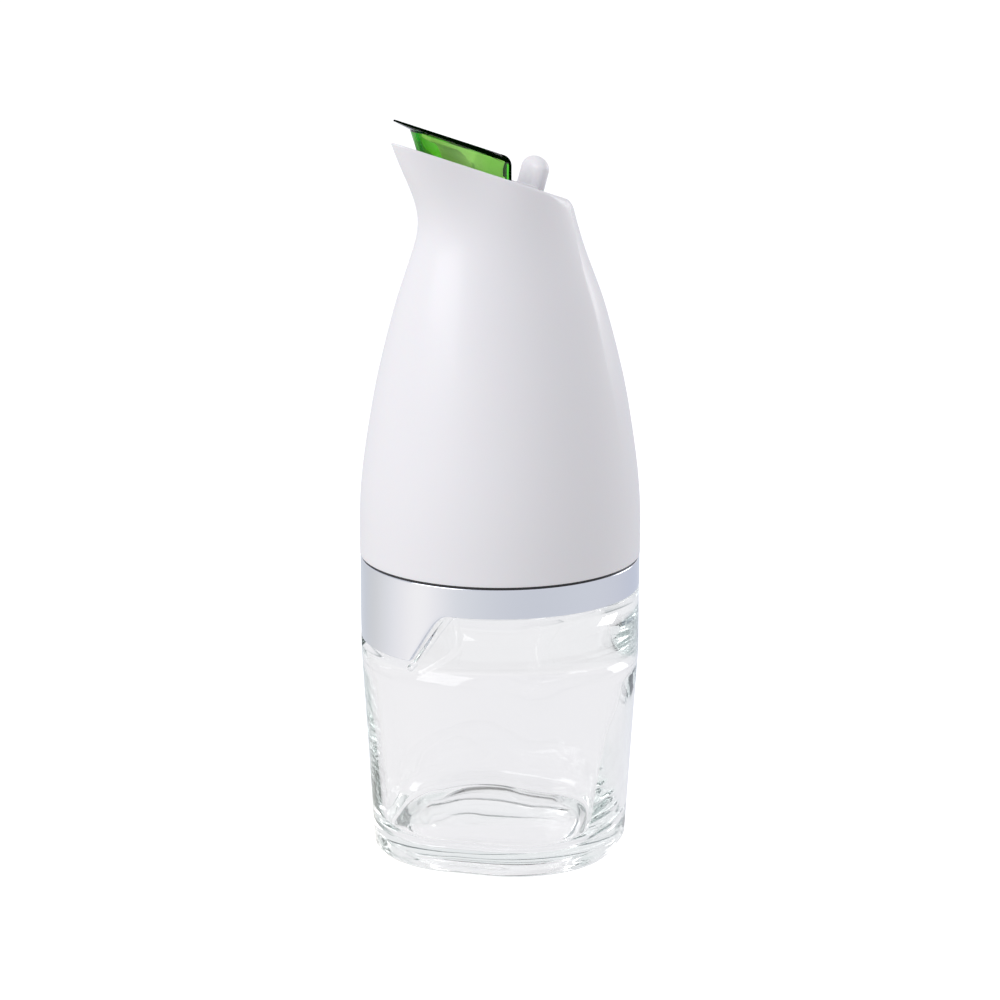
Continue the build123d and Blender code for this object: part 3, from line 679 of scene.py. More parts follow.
@dataclass
class HeadShell:
    """Tall white shell: round below, drawn in at the sides and drawn out to a spout at the mouth."""

    foot: float = 78.4 * MM
    foot_radius: float = 36.2 * MM
    wall: float = 2.0 * MM
    bore: float = 34.6 * MM
    bore_top: float = 89.65 * MM
    rim_round: float = 0.8 * MM
    rear_round: tuple[float, float] = (1.5 * MM, 2.6 * MM)
    rim_inner_round: float = 0.3 * MM
    foot_round: float = 0.25 * MM
    # Height over the foot, then back, nose and side radius in mm, crease and spread in degrees
    stations: tuple[tuple[float, ...], ...] = (
        (0.0, 36.2, 36.2, 36.2, 56.0, 34.0),
        (12.0, 36.2, 36.2, 36.2, 56.0, 34.0),
        (22.0, 35.5, 35.5, 35.4, 56.0, 34.0),
        (34.0, 33.9, 33.9, 33.5, 55.5, 34.0),
        (46.0, 31.8, 31.9, 30.9, 55.5, 34.0),
        (58.0, 28.9, 29.3, 27.5, 55.0, 34.0),
        (68.0, 26.0, 26.7, 24.2, 54.5, 34.0),
        (78.0, 22.3, 23.6, 20.4, 51.5, 32.0),
        (86.0, 19.8, 21.9, 17.8, 46.5, 29.0),
        (94.0, 17.9, 23.6, 16.0, 41.5, 26.0),
        (102.0, 16.4, 27.4, 14.6, 38.5, 22.0),
        (110.0, 15.2, 30.9, 13.5, 37.0, 18.0),
        (118.0, 14.2, 33.9, 12.6, 36.0, 16.0),
    )
    side_points: int = 110
    back_points: int = 70
    outer_rows: int = 120
    inner_rows: int = 50
    # Highest value of share squared times the rest of the side, at two thirds of the way to the crease
    side_peak: float = 4.0 / 27.0
    share_step: float = 0.01
    settle_steps: int = 40
    table_step: float = 0.25 * MM
    rear_share: tuple[float, float] = (0.8, 0.97)
    table: np.ndarray = field(init=False)

    def __post_init__(self) -> None:
        """Tabulate the stations' spline."""
        rows = np.array(self.stations)
        rises = np.arange(0.0, rows[-1, 0] + 1e-6, self.table_step / MM)
        self.table = cubic_rows(rows[:, 0], rows[:, 1:], rises)

    def section(self, z: float) -> np.ndarray:
        """Back, nose, side, crease and spread at a height."""
        place = min(max((z - self.foot) / self.table_step, 0.0), len(self.table) - 1.001)
        row = int(place)
        return self.table[row] + (self.table[row + 1] - self.table[row]) * (place - row)

    def outer_point(self, share: float, z: float) -> Vector:
        """Point of the right outside, share 0 to 1 on the side and 1 to 2 on the back.

        Args:
            share: 0 at the nose, 1 at the crease, 2 at the middle of the back.
            z: Height.

        Returns:
            The point on the outside.
        """
        back, nose, side, crease, spread = self.section(z)
        if share <= 1.0:
            angle = share * (180.0 - crease)
            swell = (nose - back) * math.exp(-0.5 * (angle / spread) ** 2)
            drawn_in = share**2 * (1 - share) / self.side_peak
            radius = back + swell - (back - side) * drawn_in
        else:
            angle = 180.0 - crease * (2.0 - share)
            radius = back
        turn = math.radians(angle)
        return Vector((radius * MM * math.sin(turn), -radius * MM * math.cos(turn), z))

    def wall_point(self, share: float, z: float, inset: float) -> Vector:
        """Point of the right wall, drawn in square to the outline.

        Args:
            share: Place round the outside, as in outer_point.
            z: Height.
            inset: How far the wall stands in there.

        Returns:
            The point on the wall.
        """
        here = self.outer_point(share, z)
        if inset == 0.0:
            return here
        if share >= 1.0:
            reach = Vector((here.x, here.y, 0.0))
            return here - reach.normalized() * inset
        low, high = max(share - self.share_step, 0.0), min(share + self.share_step, 1.0)
        along = self.outer_point(high, z) - self.outer_point(low, z)
        if share < self.share_step:
            along = Vector((1.0, 0.0, 0.0))
        along.normalize()
        return here + Vector((-along.y, along.x, 0.0)) * inset

    def rim_height(self, share: float, inset: float) -> float:
        """Height where the wall meets the plane of the mouth."""
        z = MOUTH.height
        for _ in range(self.settle_steps):
            z = MOUTH.height - MOUTH.slope * self.wall_point(share, z, inset).y
        return z

    def rim_reach(self, share: float) -> tuple[float, float]:
        """How far the rim's outer round reaches in over the rim and down the wall.

        Args:
            share: Place round the outside, as in outer_point.

        Returns:
            The reach across the rim and down the wall.
        """
        full = smooth_step(*self.rear_share, share)
        across, down = (self.rim_round + (reach - self.rim_round) * full for reach in self.rear_round)
        return across, down

    def shares(self) -> list[tuple[float, float]]:
        """Shares round the whole head, each with the sign of its x."""
        side = [index / self.side_points for index in range(self.side_points + 1)]
        back = [1.0 + index / self.back_points for index in range(1, self.back_points + 1)]
        right = side + back
        return [(share, 1.0) for share in right] + [(share, -1.0) for share in right[-2:0:-1]]

    def build(self) -> None:
        """Build the shell and dress it."""
        ring = self.shares()
        rims = {inset: {s: self.rim_height(s, inset) for s, _ in ring} for inset in (0.0, self.wall)}

        def loop(inset: float, low: float, share_up: float, drop: float | None) -> Loop:
            """Loop of the wall between a height and the rim less a drop, or less the round with None."""
            points = []
            for share, sign in ring:
                top = rims[inset][share] - (self.rim_reach(share)[1] if drop is None else drop)
                point = self.wall_point(share, low + (top - low) * share_up, inset)
                points.append(Vector((point.x * sign, point.y, point.z)))
            return points

        loops = []
        for down, up in quarter(0, 30, 60, 90):
            scale = 1 - self.foot_round * down / self.foot_radius
            z = self.foot + self.foot_round * up
            loops.append([Vector((p.x * scale, p.y * scale, z)) for p in loop(0.0, self.foot, 0.0, 0.0)])
        low = self.foot + self.foot_round
        for row in range(1, self.outer_rows + 1):
            loops.append(loop(0.0, low, row / self.outer_rows, None))
        edge_out = loop(0.0, low, 1.0, 0.0)
        edge_in = loop(self.wall, low, 1.0, 0.0)
        below_out, below_in = loops[-1], loop(self.wall, low, 1.0, self.rim_inner_round)
        for down, in_share in quarter(15, 30, 45, 60, 75, 90):
            row = []
            for (share, _), out, inner, below in zip(ring, edge_out, edge_in, below_out):
                across = (inner - out).normalized() * self.rim_reach(share)[0]
                row.append(out + (below - out) * down + across * in_share)
            loops.append(row)
        for down, in_share in quarter(90, 60, 30, 0):
            row = []
            for out, inner, below in zip(edge_out, edge_in, below_in):
                across = (out - inner).normalized() * self.rim_inner_round
                row.append(inner + (below - inner) * down + across * in_share)
            loops.append(row)
        for row in range(1, self.inner_rows + 1):
            loops.append(loop(self.wall, self.bore_top, 1 - row / self.inner_rows, self.rim_inner_round))
        last = loops[-1]
        for z in (self.bore_top, self.foot):
            loops.append([Vector((*(Vector((p.x, p.y)).normalized() * self.bore), z)) for p in last])
        piece = skin("head_shell_skin", loops, ring=True, sharp=14.0)
        dress(piece, WHITE, Slot.WHITE, Body.HEAD, "head_shell")


# Chromed collar


@dataclass
class Collar:
    """Chromed collar ring and its tab, pressed from one sheet."""

    radius: float = 36.1 * MM
    wall: float = 1.6 * MM
    tab_wall: float = 1.1 * MM
    foot: float = 70.1 * MM
    top: float = 77.8 * MM
    tab_foot: float = 56.7 * MM
    tab_foot_half: float = 13.3 * MM
    tab_root_half: float = 22.5 * MM
    foot_reach: float = 0.6 * MM
    root_reach: float = 2.6 * MM
    edge_round: float = 0.3 * MM
    count: int = 720
    rows: int = 9

    def foot_height(self, angle: float) -> float:
        """Height of the lower edge, with the tab's corners rounded.

        Args:
            angle: Angle from the front.

        Returns:
            The height there.
        """
        across = abs(angle) * self.radius
        slope = (self.foot - self.tab_foot) / (self.tab_root_half - self.tab_foot_half)
        raw = self.tab_foot + max(across - self.tab_foot_half, 0.0) * slope
        if abs(across - self.tab_foot_half) < self.foot_reach:
            share = (across - self.tab_foot_half + self.foot_reach) / (2 * self.foot_reach)
            return self.tab_foot + slope * self.foot_reach * share**2
        if abs(across - self.tab_root_half) < self.root_reach:
            share = (self.tab_root_half + self.root_reach - across) / (2 * self.root_reach)
            return self.foot - slope * self.root_reach * share**2
        return min(raw, self.foot)

    def build(self) -> None:
        """Build the collar and dress it."""
        angles = [2 * math.pi * index / self.count - math.pi for index in range(self.count)]

        def loop(radius: float, height: Callable[[float], float]) -> Loop:
            """Loop round the axis at a radius."""
            return [
                Vector((radius * math.sin(a), -radius * math.cos(a), height(a))) for a in angles
            ]

        loops = []
        for back, up in quarter(0, 30, 60, 90):
            radius, rise = self.radius - self.edge_round * back, self.edge_round * up
            loops.append(loop(radius, lambda a, r=rise: self.foot_height(a) + r))
        for share in np.linspace(0.0, 1.0, self.rows + 1)[1:]:
            loops.append(loop(self.radius, lambda a, s=share: self.foot_height(a) + self.edge_round
                              + (self.top - self.foot_height(a) - 2 * self.edge_round) * s))
        for drop, back in quarter(30, 60, 90):
            z = self.top - self.edge_round * drop
            loops.append(loop(self.radius - self.edge_round * back, lambda a, z=z: z))
        inner = self.radius - self.wall
        loops.append(loop(inner, lambda a: self.top))
        loops.append(loop(inner, lambda a: self.foot))
        step = self.radius - self.tab_wall
        loops.append(loop(step, lambda a: self.foot))
        loops.append(loop(step, self.foot_height))
        piece = skin("collar_chrome", loops, ring=True, sharp=40.0)
        dress(piece, CHROME, Slot.CHROME, Body.HEAD, "collar_ring")


# Green lid


@dataclass
class Lid:
    """Tinted lid: a plate with a beak, a skirt that leans to the front and a slot for the lever."""

    height: float = 5.6 * MM
    plate: float = 1.2 * MM
    wall: float = 1.2 * MM
    skirt_depth: float = 2.5 * MM
    half_width: float = 10.0 * MM
    shoulder_share: float = 0.58
    nose_half: float = 2.6 * MM
    side_round: float = 12.0 * MM
    rear_round: float = 3.6 * MM
    nose_round: float = 3.8 * MM
    front_top: float = -28.5 * MM
    front_foot: float = -22.8 * MM
    rear_y: float = -0.75 * MM
    edge_round: float = 1.9 * MM
    top_round: float = 0.25 * MM
    beak: float = -34.2 * MM
    beak_half: float = 0.9 * MM
    beak_round: float = 1.2 * MM
    beak_edge: float = 0.5 * MM
    slot_half: float = 6.2 * MM
    slot_top: float = 0.4 * MM
    slot_reach: float = 3.0 * MM
    slot_below: float = 1.0 * MM
    rear_blend: tuple[float, float] = (2.2, 0.9)
    wedge_power: float = 0.4
    foot_overshoot: float = 1.4
    wall_rows: int = 8
    corner_steps: int = 14
    normal_step: float = 0.1 * MM

    def front_v(self, h: float) -> float:
        """Place of the front wall at a height."""
        share = (h + self.skirt_depth) / (self.height - self.plate + self.skirt_depth)
        return self.front_foot + share * (self.front_top - self.front_foot)

    def rear_v(self, h: float) -> float:
        """Place of the upright rear wall at a height."""
        return (self.rear_y - h * math.sin(MOUTH.tilt)) / math.cos(MOUTH.tilt)

    def outline(self, front: float, rear: float, nose: float, nose_round: float, inset: float) -> list:
        """Rounded outline across the mouth.

        Args:
            front: Place of the front.
            rear: Place of the rear.
            nose: Half-width of the flat nose.
            nose_round: Radius of the nose corners.
            inset: How far the outline is drawn in.

        Returns:
            Pairs of x and v, the same number for every outline.
        """
        front, rear, half = front + inset, rear - inset, self.half_width - inset
        shoulder = front + self.shoulder_share * (rear - front)
        corners = [
            (nose, front, nose_round), (half, shoulder, self.side_round),
            (half, rear, self.rear_round - inset), (-half, rear, self.rear_round - inset),
            (-half, shoulder, self.side_round), (-nose, front, nose_round),
        ]
        points = []
        for index, (x, v, radius) in enumerate(corners):
            here = Vector((x, v))
            before = (Vector(corners[index - 1][:2]) - here).normalized()
            after = (Vector(corners[(index + 1) % 6][:2]) - here).normalized()
            half_angle = before.angle(after) / 2
            reach = radius / math.tan(half_angle)
            middle = here + (before + after).normalized() * (radius / math.sin(half_angle))
            start, end = here + before * reach - middle, here + after * reach - middle
            turn = start.angle_signed(end)
            for step in range(self.corner_steps + 1):
                angle = -turn * step / self.corner_steps
                cosine, sine = math.cos(angle), math.sin(angle)
                points.append((
                    middle.x + start.x * cosine - start.y * sine,
                    middle.y + start.x * sine + start.y * cosine,
                ))
        return points

    def top_round_at(self, v: float) -> float:
        """Radius of the top edge: small along the sides and full round the rear."""
        low, high = (self.rear_v(self.height) - share * self.rear_round for share in self.rear_blend)
        return self.top_round + (self.edge_round - self.top_round) * smooth_step(low, high, v)

    def wall_spot(self, index: int, h: float) -> Vector:
        """Point of the outer wall at a height.

        Args:
            index: Number of the point in the outline.
            h: Height square to the rim.

        Returns:
            The point in the frame.
        """
        outline = self.outline(self.front_v(h), self.rear_v(h), self.nose_half, self.nose_round, 0.0)
        return MOUTH.at(*outline[index], h)

    def plate_spot(self, index: int, h: float, back: float) -> Vector:
        """Point of the plate's edge at a height, drawn in along the outline's normal by back."""
        (x, v), (x_in, v_in) = (
            self.outline(self.beak, self.rear_v(h), self.beak_half, self.beak_round, inset)[index]
            for inset in (0.0, self.normal_step)
        )
        across = Vector((x_in - x, v_in - v)).normalized() * back
        return MOUTH.at(x + across.x, v + across.y, h)

    def wedge(self, v: float) -> float:
        """Height of the underside of the beak."""
        share = min(max((self.front_top - v) / (self.front_top - self.beak), 0.0), 1.0)
        return self.height - self.plate + share**self.wedge_power * (self.plate - self.beak_edge)

    def build(self) -> None:
        """Build the lid and dress it."""
        foot, under = -self.skirt_depth, self.height - self.plate
        top = self.outline(self.beak, self.rear_v(self.height), self.beak_half, self.beak_round, 0.0)
        rounds = [self.top_round_at(v) for _, v in top]
        loops = []
        for h in np.linspace(foot, under, self.wall_rows):
            loops.append([self.wall_spot(i, min(h, self.height - r)) for i, r in enumerate(rounds)])
        loops.append([
            self.plate_spot(i, min(self.wedge(v), self.height - r), 0.0)
            for i, ((_, v), r) in enumerate(zip(top, rounds))
        ])
        for drop, back in quarter(*range(0, 91, 10)):
            loops.append([self.plate_spot(i, self.height - r * drop, r * back) for i, r in enumerate(rounds)])
        inner = []
        for h in np.linspace(under, foot, self.wall_rows):
            shape = self.outline(self.front_v(h), self.rear_v(h), self.nose_half,
                                 self.nose_round - self.wall, self.wall)
            inner.append([MOUTH.at(x, v, h) for x, v in shape])
        below = [above + (low - above) * self.foot_overshoot for above, low in zip(inner[-2], inner[-1])]
        outer = skin("lid_outer", loops)
        cavity = skin("lid_cavity", inner[:-1] + [below])
        slot = self.slot_cutter()
        for cutter in (cavity, slot):
            cut = outer.modifiers.new("cut", "BOOLEAN")
            cut.object = cutter
            cut.operation = "DIFFERENCE"
            cut.solver = "EXACT"
        piece = baked("lid_green", outer, sharp=25.0)
        for used in (outer, cavity, slot):
            bpy.data.objects.remove(used)
        dress(piece, GREEN, Slot.GREEN, Body.LID, "lid_cap")
        piece.visible_shadow = piece.visible_diffuse = False

    def slot_cutter(self) -> bpy.types.Object:
        """Block that cuts the slot of the rear wall."""
        half, reach = self.slot_half, self.slot_reach
        corners = ((-half, -reach), (half, -reach), (half, reach), (-half, reach))
        levels = (-self.skirt_depth - self.slot_below, self.slot_top)
        return skin("lid_slot", [[MOUTH.at(x, v, h) for x, v in corners] for h in levels])


def baked(name: str, source: bpy.types.Object, sharp: float) -> bpy.types.Object:
    """New object with the mesh that a source's modifiers give.

    Args:
        name: Name of the new object.
        source: Object with modifiers.
        sharp: Angle in degrees past which an edge is shaded sharp.

    Returns:
        The new object, with the source left as it is.
    """
    graph = bpy.context.evaluated_depsgraph_get()
    data = bpy.data.meshes.new_from_object(source.evaluated_get(graph))
    data.name = name
    data.shade_smooth()
    data.set_sharp_from_angle(angle=math.radians(sharp))
    piece = bpy.data.objects.new(name, data)
    bpy.context.scene.collection.objects.link(piece)
    return piece


# White lever


@dataclass
class Lever:
    """White rocker: its CAD solid with a wider arm under the lid and a softer thumb piece, all rounded."""

    weld: float = 0.001 * MM
    voxel: float = 0.22 * MM
    smoothing: int = 5
    arm_top: float = 4.2 * MM
    flange: float = 1.0 * MM
    arm_front: float = -24.6 * MM
    arm_rear: float = -4.9 * MM
    arm_foot: float = -1.9 * MM
    front_half: float = 3.0 * MM
    full_half: float = 8.1 * MM
    flare: float = 0.4525
    bend: tuple[float, float] = (-18.0 * MM, -9.0 * MM)
    knob_v: float = 9.1 * MM
    knob_foot: float = -1.0 * MM
    knob_top: float = 8.15 * MM
    knob_half: tuple[float, float] = (5.0 * MM, 3.0 * MM)
    dome: float = 3.3 * MM
    lean: float = -0.06
    trim_half: float = 8.0 * MM
    trim_v: tuple[float, float] = (-0.5 * MM, 16.0 * MM)
    trim_h: tuple[float, float] = (0.25 * MM, 14.0 * MM)
    arm_rows: int = 34
    knob_rows: int = 12
    knob_points: int = 48
    dome_step: int = 6

    def arm(self) -> bpy.types.Object:
        """Build the arm under the lid.

        Returns:
            A block that fills the lid behind its front, thin in front and deep at the rear.
        """
        loops = []
        for v in np.linspace(self.arm_front, self.arm_rear, self.arm_rows):
            half = min(self.full_half, self.front_half + self.flare * (v - self.arm_front))
            drop = smooth_step(self.bend[0], self.bend[1], v)
            low = self.arm_top - self.flange + (self.arm_foot - self.arm_top + self.flange) * drop
            corners = ((-half, low), (half, low), (half, self.arm_top), (-half, self.arm_top))
            loops.append([MOUTH.at(x, v, h) for x, h in corners])
        return skin("lever_arm", loops)

    def knob(self) -> bpy.types.Object:
        """Build the thumb piece.

        Returns:
            An oval column with a dome, leaning a little to the front.
        """
        wide, deep = self.knob_half
        shoulder = self.knob_top - self.dome
        levels = [(h, 1.0) for h in np.linspace(self.knob_foot, shoulder, self.knob_rows)]
        for drop, back in quarter(*range(self.dome_step, 90, self.dome_step)):
            levels.append((self.knob_top - self.dome * drop, 1.0 - back))
        loops = []
        for h, share in levels:
            middle = self.knob_v + self.lean * (h - shoulder)
            loops.append([
                MOUTH.at(wide * share * math.cos(a), middle + deep * share * math.sin(a), h)
                for a in np.linspace(0.0, 2 * math.pi, self.knob_points, endpoint=False)
            ])
        return skin("lever_knob", loops)

    def trimmer(self) -> bpy.types.Object:
        """Block that takes the thumb piece off the CAD solid."""
        half, (front, rear) = self.trim_half, self.trim_v
        corners = ((-half, front), (half, front), (half, rear), (-half, rear))
        return skin("lever_trim", [[MOUTH.at(x, v, h) for x, v in corners] for h in self.trim_h])

    def build(self) -> None:
        """Build the lever and dress it."""
        copy = bpy.data.objects.new("lever_source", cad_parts["thumb_lever"].data.copy())
        bpy.context.scene.collection.objects.link(copy)
        mesh = bmesh.new()
        mesh.from_mesh(copy.data)
        bmesh.ops.remove_doubles(mesh, verts=mesh.verts, dist=self.weld)
        mesh.to_mesh(copy.data)
        mesh.free()
        trim = self.trimmer()
        cut = copy.modifiers.new("cut", "BOOLEAN")
        cut.object, cut.operation, cut.solver = trim, "DIFFERENCE", "EXACT"
        body = baked("lever_body", copy, sharp=60.0)
        extra = [self.arm(), self.knob()]
        mesh = bmesh.new()
        for source in (body, *extra):
            mesh.from_mesh(source.data)
        mesh.to_mesh(body.data)
        mesh.free()
        remesh = body.modifiers.new("remesh", "REMESH")
        remesh.mode = "VOXEL"
        remesh.voxel_size = self.voxel
        soften = body.modifiers.new("soften", "SMOOTH")
        soften.iterations = self.smoothing
        soften.factor = 0.5
        piece = baked("lever_white", body, sharp=60.0)
        for used in (copy, trim, body, *extra):
            bpy.data.objects.remove(used)
        dress(piece, WHITE, Slot.WHITE, Body.LID, "thumb_lever")


# Screws


def screw_tree() -> bpy.types.NodeTree:
    """Build the node tree that lays out a row of cross-recess screws.

    Returns:
        The tree, with the row, the screw's sizes and the material as inputs.
    """
    name = "screw_row"
    if name in bpy.data.node_groups:
        return bpy.data.node_groups[name]
    tree = bpy.data.node_groups.new(name, "GeometryNodeTree")
    for kind, labels in (
        ("Int", ("Count", "Shank Rings")), ("Vector", ("Start",)), ("Material", ("Material",)),
        ("Float", ("Spacing", "Turn", "Shank Radius", "Shank Length", "Pitch", "Thread Depth", "Head Radius",
                   "Head Height", "Head Draw", "Recess Width", "Recess Depth")),
    ):
        for label in labels:
            tree.interface.new_socket(label, in_out="INPUT", socket_type="NodeSocket" + kind)
    tree.interface.new_socket("Geometry", in_out="OUTPUT", socket_type="NodeSocketGeometry")
    nodes = Nodes(tree)
    given = nodes.add("NodeGroupInput").outputs
    spot = nodes.add("GeometryNodeInputPosition").outputs[0]
    x, y, z = nodes.add("ShaderNodeSeparateXYZ", spot).outputs

    def turned(part: str, depth: str, rings: object, share: object, lift: float) -> bpy.types.NodeSocket:
        """Add a turned body.

        Args:
            part: Part of the screw whose radius it takes.
            depth: Input with its length.
            rings: Number of rings along it.
            share: Share of the radius at each point.
            lift: Share of its length by which it is lifted along its axis.

        Returns:
            The geometry socket.
        """
        body = nodes.add(
            "GeometryNodeMeshCylinder", Vertices=32, Side_Segments=rings, Radius=given[part + " Radius"],
            Depth=given[depth],
        )
        new_spot = nodes.vector(
            nodes.math("MULTIPLY", x, share), nodes.math("MULTIPLY", y, share),
            nodes.math("MULTIPLY_ADD", given[depth], lift, z),
        )
        return nodes.add("GeometryNodeSetPosition", body.outputs["Mesh"], Position=new_spot).outputs[0]

    rise = nodes.math("ADD", nodes.math("DIVIDE", z, given["Head Height"]), 0.5)
    drawn = nodes.math("MULTIPLY", nodes.math("POWER", rise, 3.0), given["Head Draw"])
    dome = nodes.math("SUBTRACT", 1.0, drawn)
    cross = nodes.add("GeometryNodeMeshBoolean", operation="DIFFERENCE", solver="EXACT")
    nodes.put(turned("Head", "Head Height", 8, dome, 0.5), cross.inputs["Mesh 1"])
    deep = nodes.math("MULTIPLY", given["Recess Depth"], 2.0)
    top = nodes.vector(0.0, 0.0, given["Head Height"])
    bars = given["Recess Width"], given["Head Radius"]
    for size in (bars, bars[::-1]):
        bar = nodes.add("GeometryNodeMeshCube", nodes.vector(*size, deep)).outputs["Mesh"]
        lifted = nodes.add("GeometryNodeTransform", bar, Translation=top)
        nodes.put(lifted.outputs["Geometry"], cross.inputs["Mesh 2"])
    half_turn = nodes.math("DIVIDE", nodes.math("ARCTAN2", y, x), 2 * math.pi)
    flank = nodes.math("FRACT", nodes.math("ADD", nodes.math("DIVIDE", z, given["Pitch"]), half_turn))
    ridge = nodes.math("PINGPONG", nodes.math("MULTIPLY", flank, 2.0), 1.0)
    thread = nodes.math("SUBTRACT", 1.0, nodes.math("MULTIPLY", ridge, given["Thread Depth"]))
    screw = nodes.add("GeometryNodeJoinGeometry", cross.outputs["Mesh"])
    nodes.put(turned("Shank", "Shank Length", given["Shank Rings"], thread, -0.5), screw.inputs[0])
    row = nodes.add(
        "GeometryNodeMeshLine", Count=given["Count"], Start_Location=given["Start"],
        Offset=nodes.vector(given["Spacing"], 0.0, 0.0),
    )
    turn = nodes.add("FunctionNodeEulerToRotation", nodes.vector(given["Turn"], 0.0, 0.0))
    placed = nodes.add(
        "GeometryNodeInstanceOnPoints", row.outputs["Mesh"], Instance=screw.outputs[0],
        Rotation=turn.outputs[0],
    )
    real = nodes.add("GeometryNodeRealizeInstances", placed.outputs["Instances"])
    dressed = nodes.add("GeometryNodeSetMaterial", real.outputs["Geometry"], Material=given["Material"])
    nodes.add("NodeGroupOutput", dressed.outputs["Geometry"])
    return tree


@dataclass
class Screws:
    """Pair of equal pan-head screws across the mouth, with a cross recess and a thread."""

    name: str
    node: str
    body: Body
    x: float
    v: float
    seat: float
    radius: float
    length: float
    head_radius: float
    head_height: float
    upside_down: bool = False
    pitch: float = 0.7 * MM
    thread_depth: float = 0.2
    shank_rings: int = 90
    head_draw: float = 0.34
    recess_width: float = 0.45 * MM
    recess_depth: float = 0.6 * MM

    def build(self) -> None:
        """Build the pair and dress it."""
        values = {
            "Count": 2, "Spacing": 2 * self.x, "Start": MOUTH.at(-self.x, self.v, self.seat),
            "Turn": (math.pi if self.upside_down else 0.0) - MOUTH.tilt, "Shank Radius": self.radius,
            "Shank Length": self.length, "Pitch": self.pitch, "Head Radius": self.head_radius,
            "Head Height": self.head_height, "Recess Width": self.recess_width,
            "Recess Depth": self.recess_depth, "Material": STEEL.material(), "Shank Rings": self.shank_rings,
            "Thread Depth": self.thread_depth, "Head Draw": self.head_draw,
        }
        source = bpy.data.objects.new(self.name + "_row", bpy.data.meshes.new(self.name + "_row"))
        row = source.modifiers.new("row", "NODES")
        row.node_group = screw_tree()
        for socket in row.node_group.interface.items_tree:
            if socket.in_out == "INPUT":
                row[socket.identifier] = values[socket.name]
        bpy.context.scene.collection.objects.link(source)
        piece = baked(self.name, source, sharp=30.0)
        bpy.data.objects.remove(source)
        dress(piece, STEEL, Slot.STEEL, self.body, self.node)


# Frame nodes that keep their shape


@dataclass
class KeptNodes:
    """CAD nodes whose shape is right and that only get a better material."""

    finishes: tuple[tuple[str, Finish], ...] = (
        ("neck_insert", DARK), ("bottle_seal", SILICONE), ("rim_gasket", SILICONE), ("liner_seal", SILICONE),
        ("pour_liner", LINER), ("mouth_deck", WHITE), ("deck_gasket", SILICONE), ("hinge_pin", STEEL),
        ("return_spring", STEEL), ("lid_seal", SILICONE),
    )

    def build(self) -> None:
        """Dress the kept nodes."""
        for name, finish in self.finishes:
            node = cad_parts[name]
            material = finish.material()
            for place in node.material_slots:
                place.material = material
            LOG.info("%s: kept from the frame, %s", name, finish.name)


# Studio


@dataclass
class Lamp:
    """One soft area lamp aimed at the object."""

    name: str
    place: tuple[float, float, float]
    size: float
    watts: float
    color: tuple[float, float, float] = (1.0, 1.0, 1.0)

    def build(self, aim: Vector) -> None:
        """Add the lamp.

        Args:
            aim: Point that the lamp faces.
        """
        data = bpy.data.lights.new(self.name, "AREA")
        data.shape = "SQUARE"
        data.size = self.size
        data.energy = self.watts
        data.color = self.color
        lamp = bpy.data.objects.new(self.name, data)
        lamp.location = self.place
        lamp.rotation_euler = (aim - Vector(self.place)).to_track_quat("-Z", "Y").to_euler()
        bpy.context.scene.collection.objects.link(lamp)


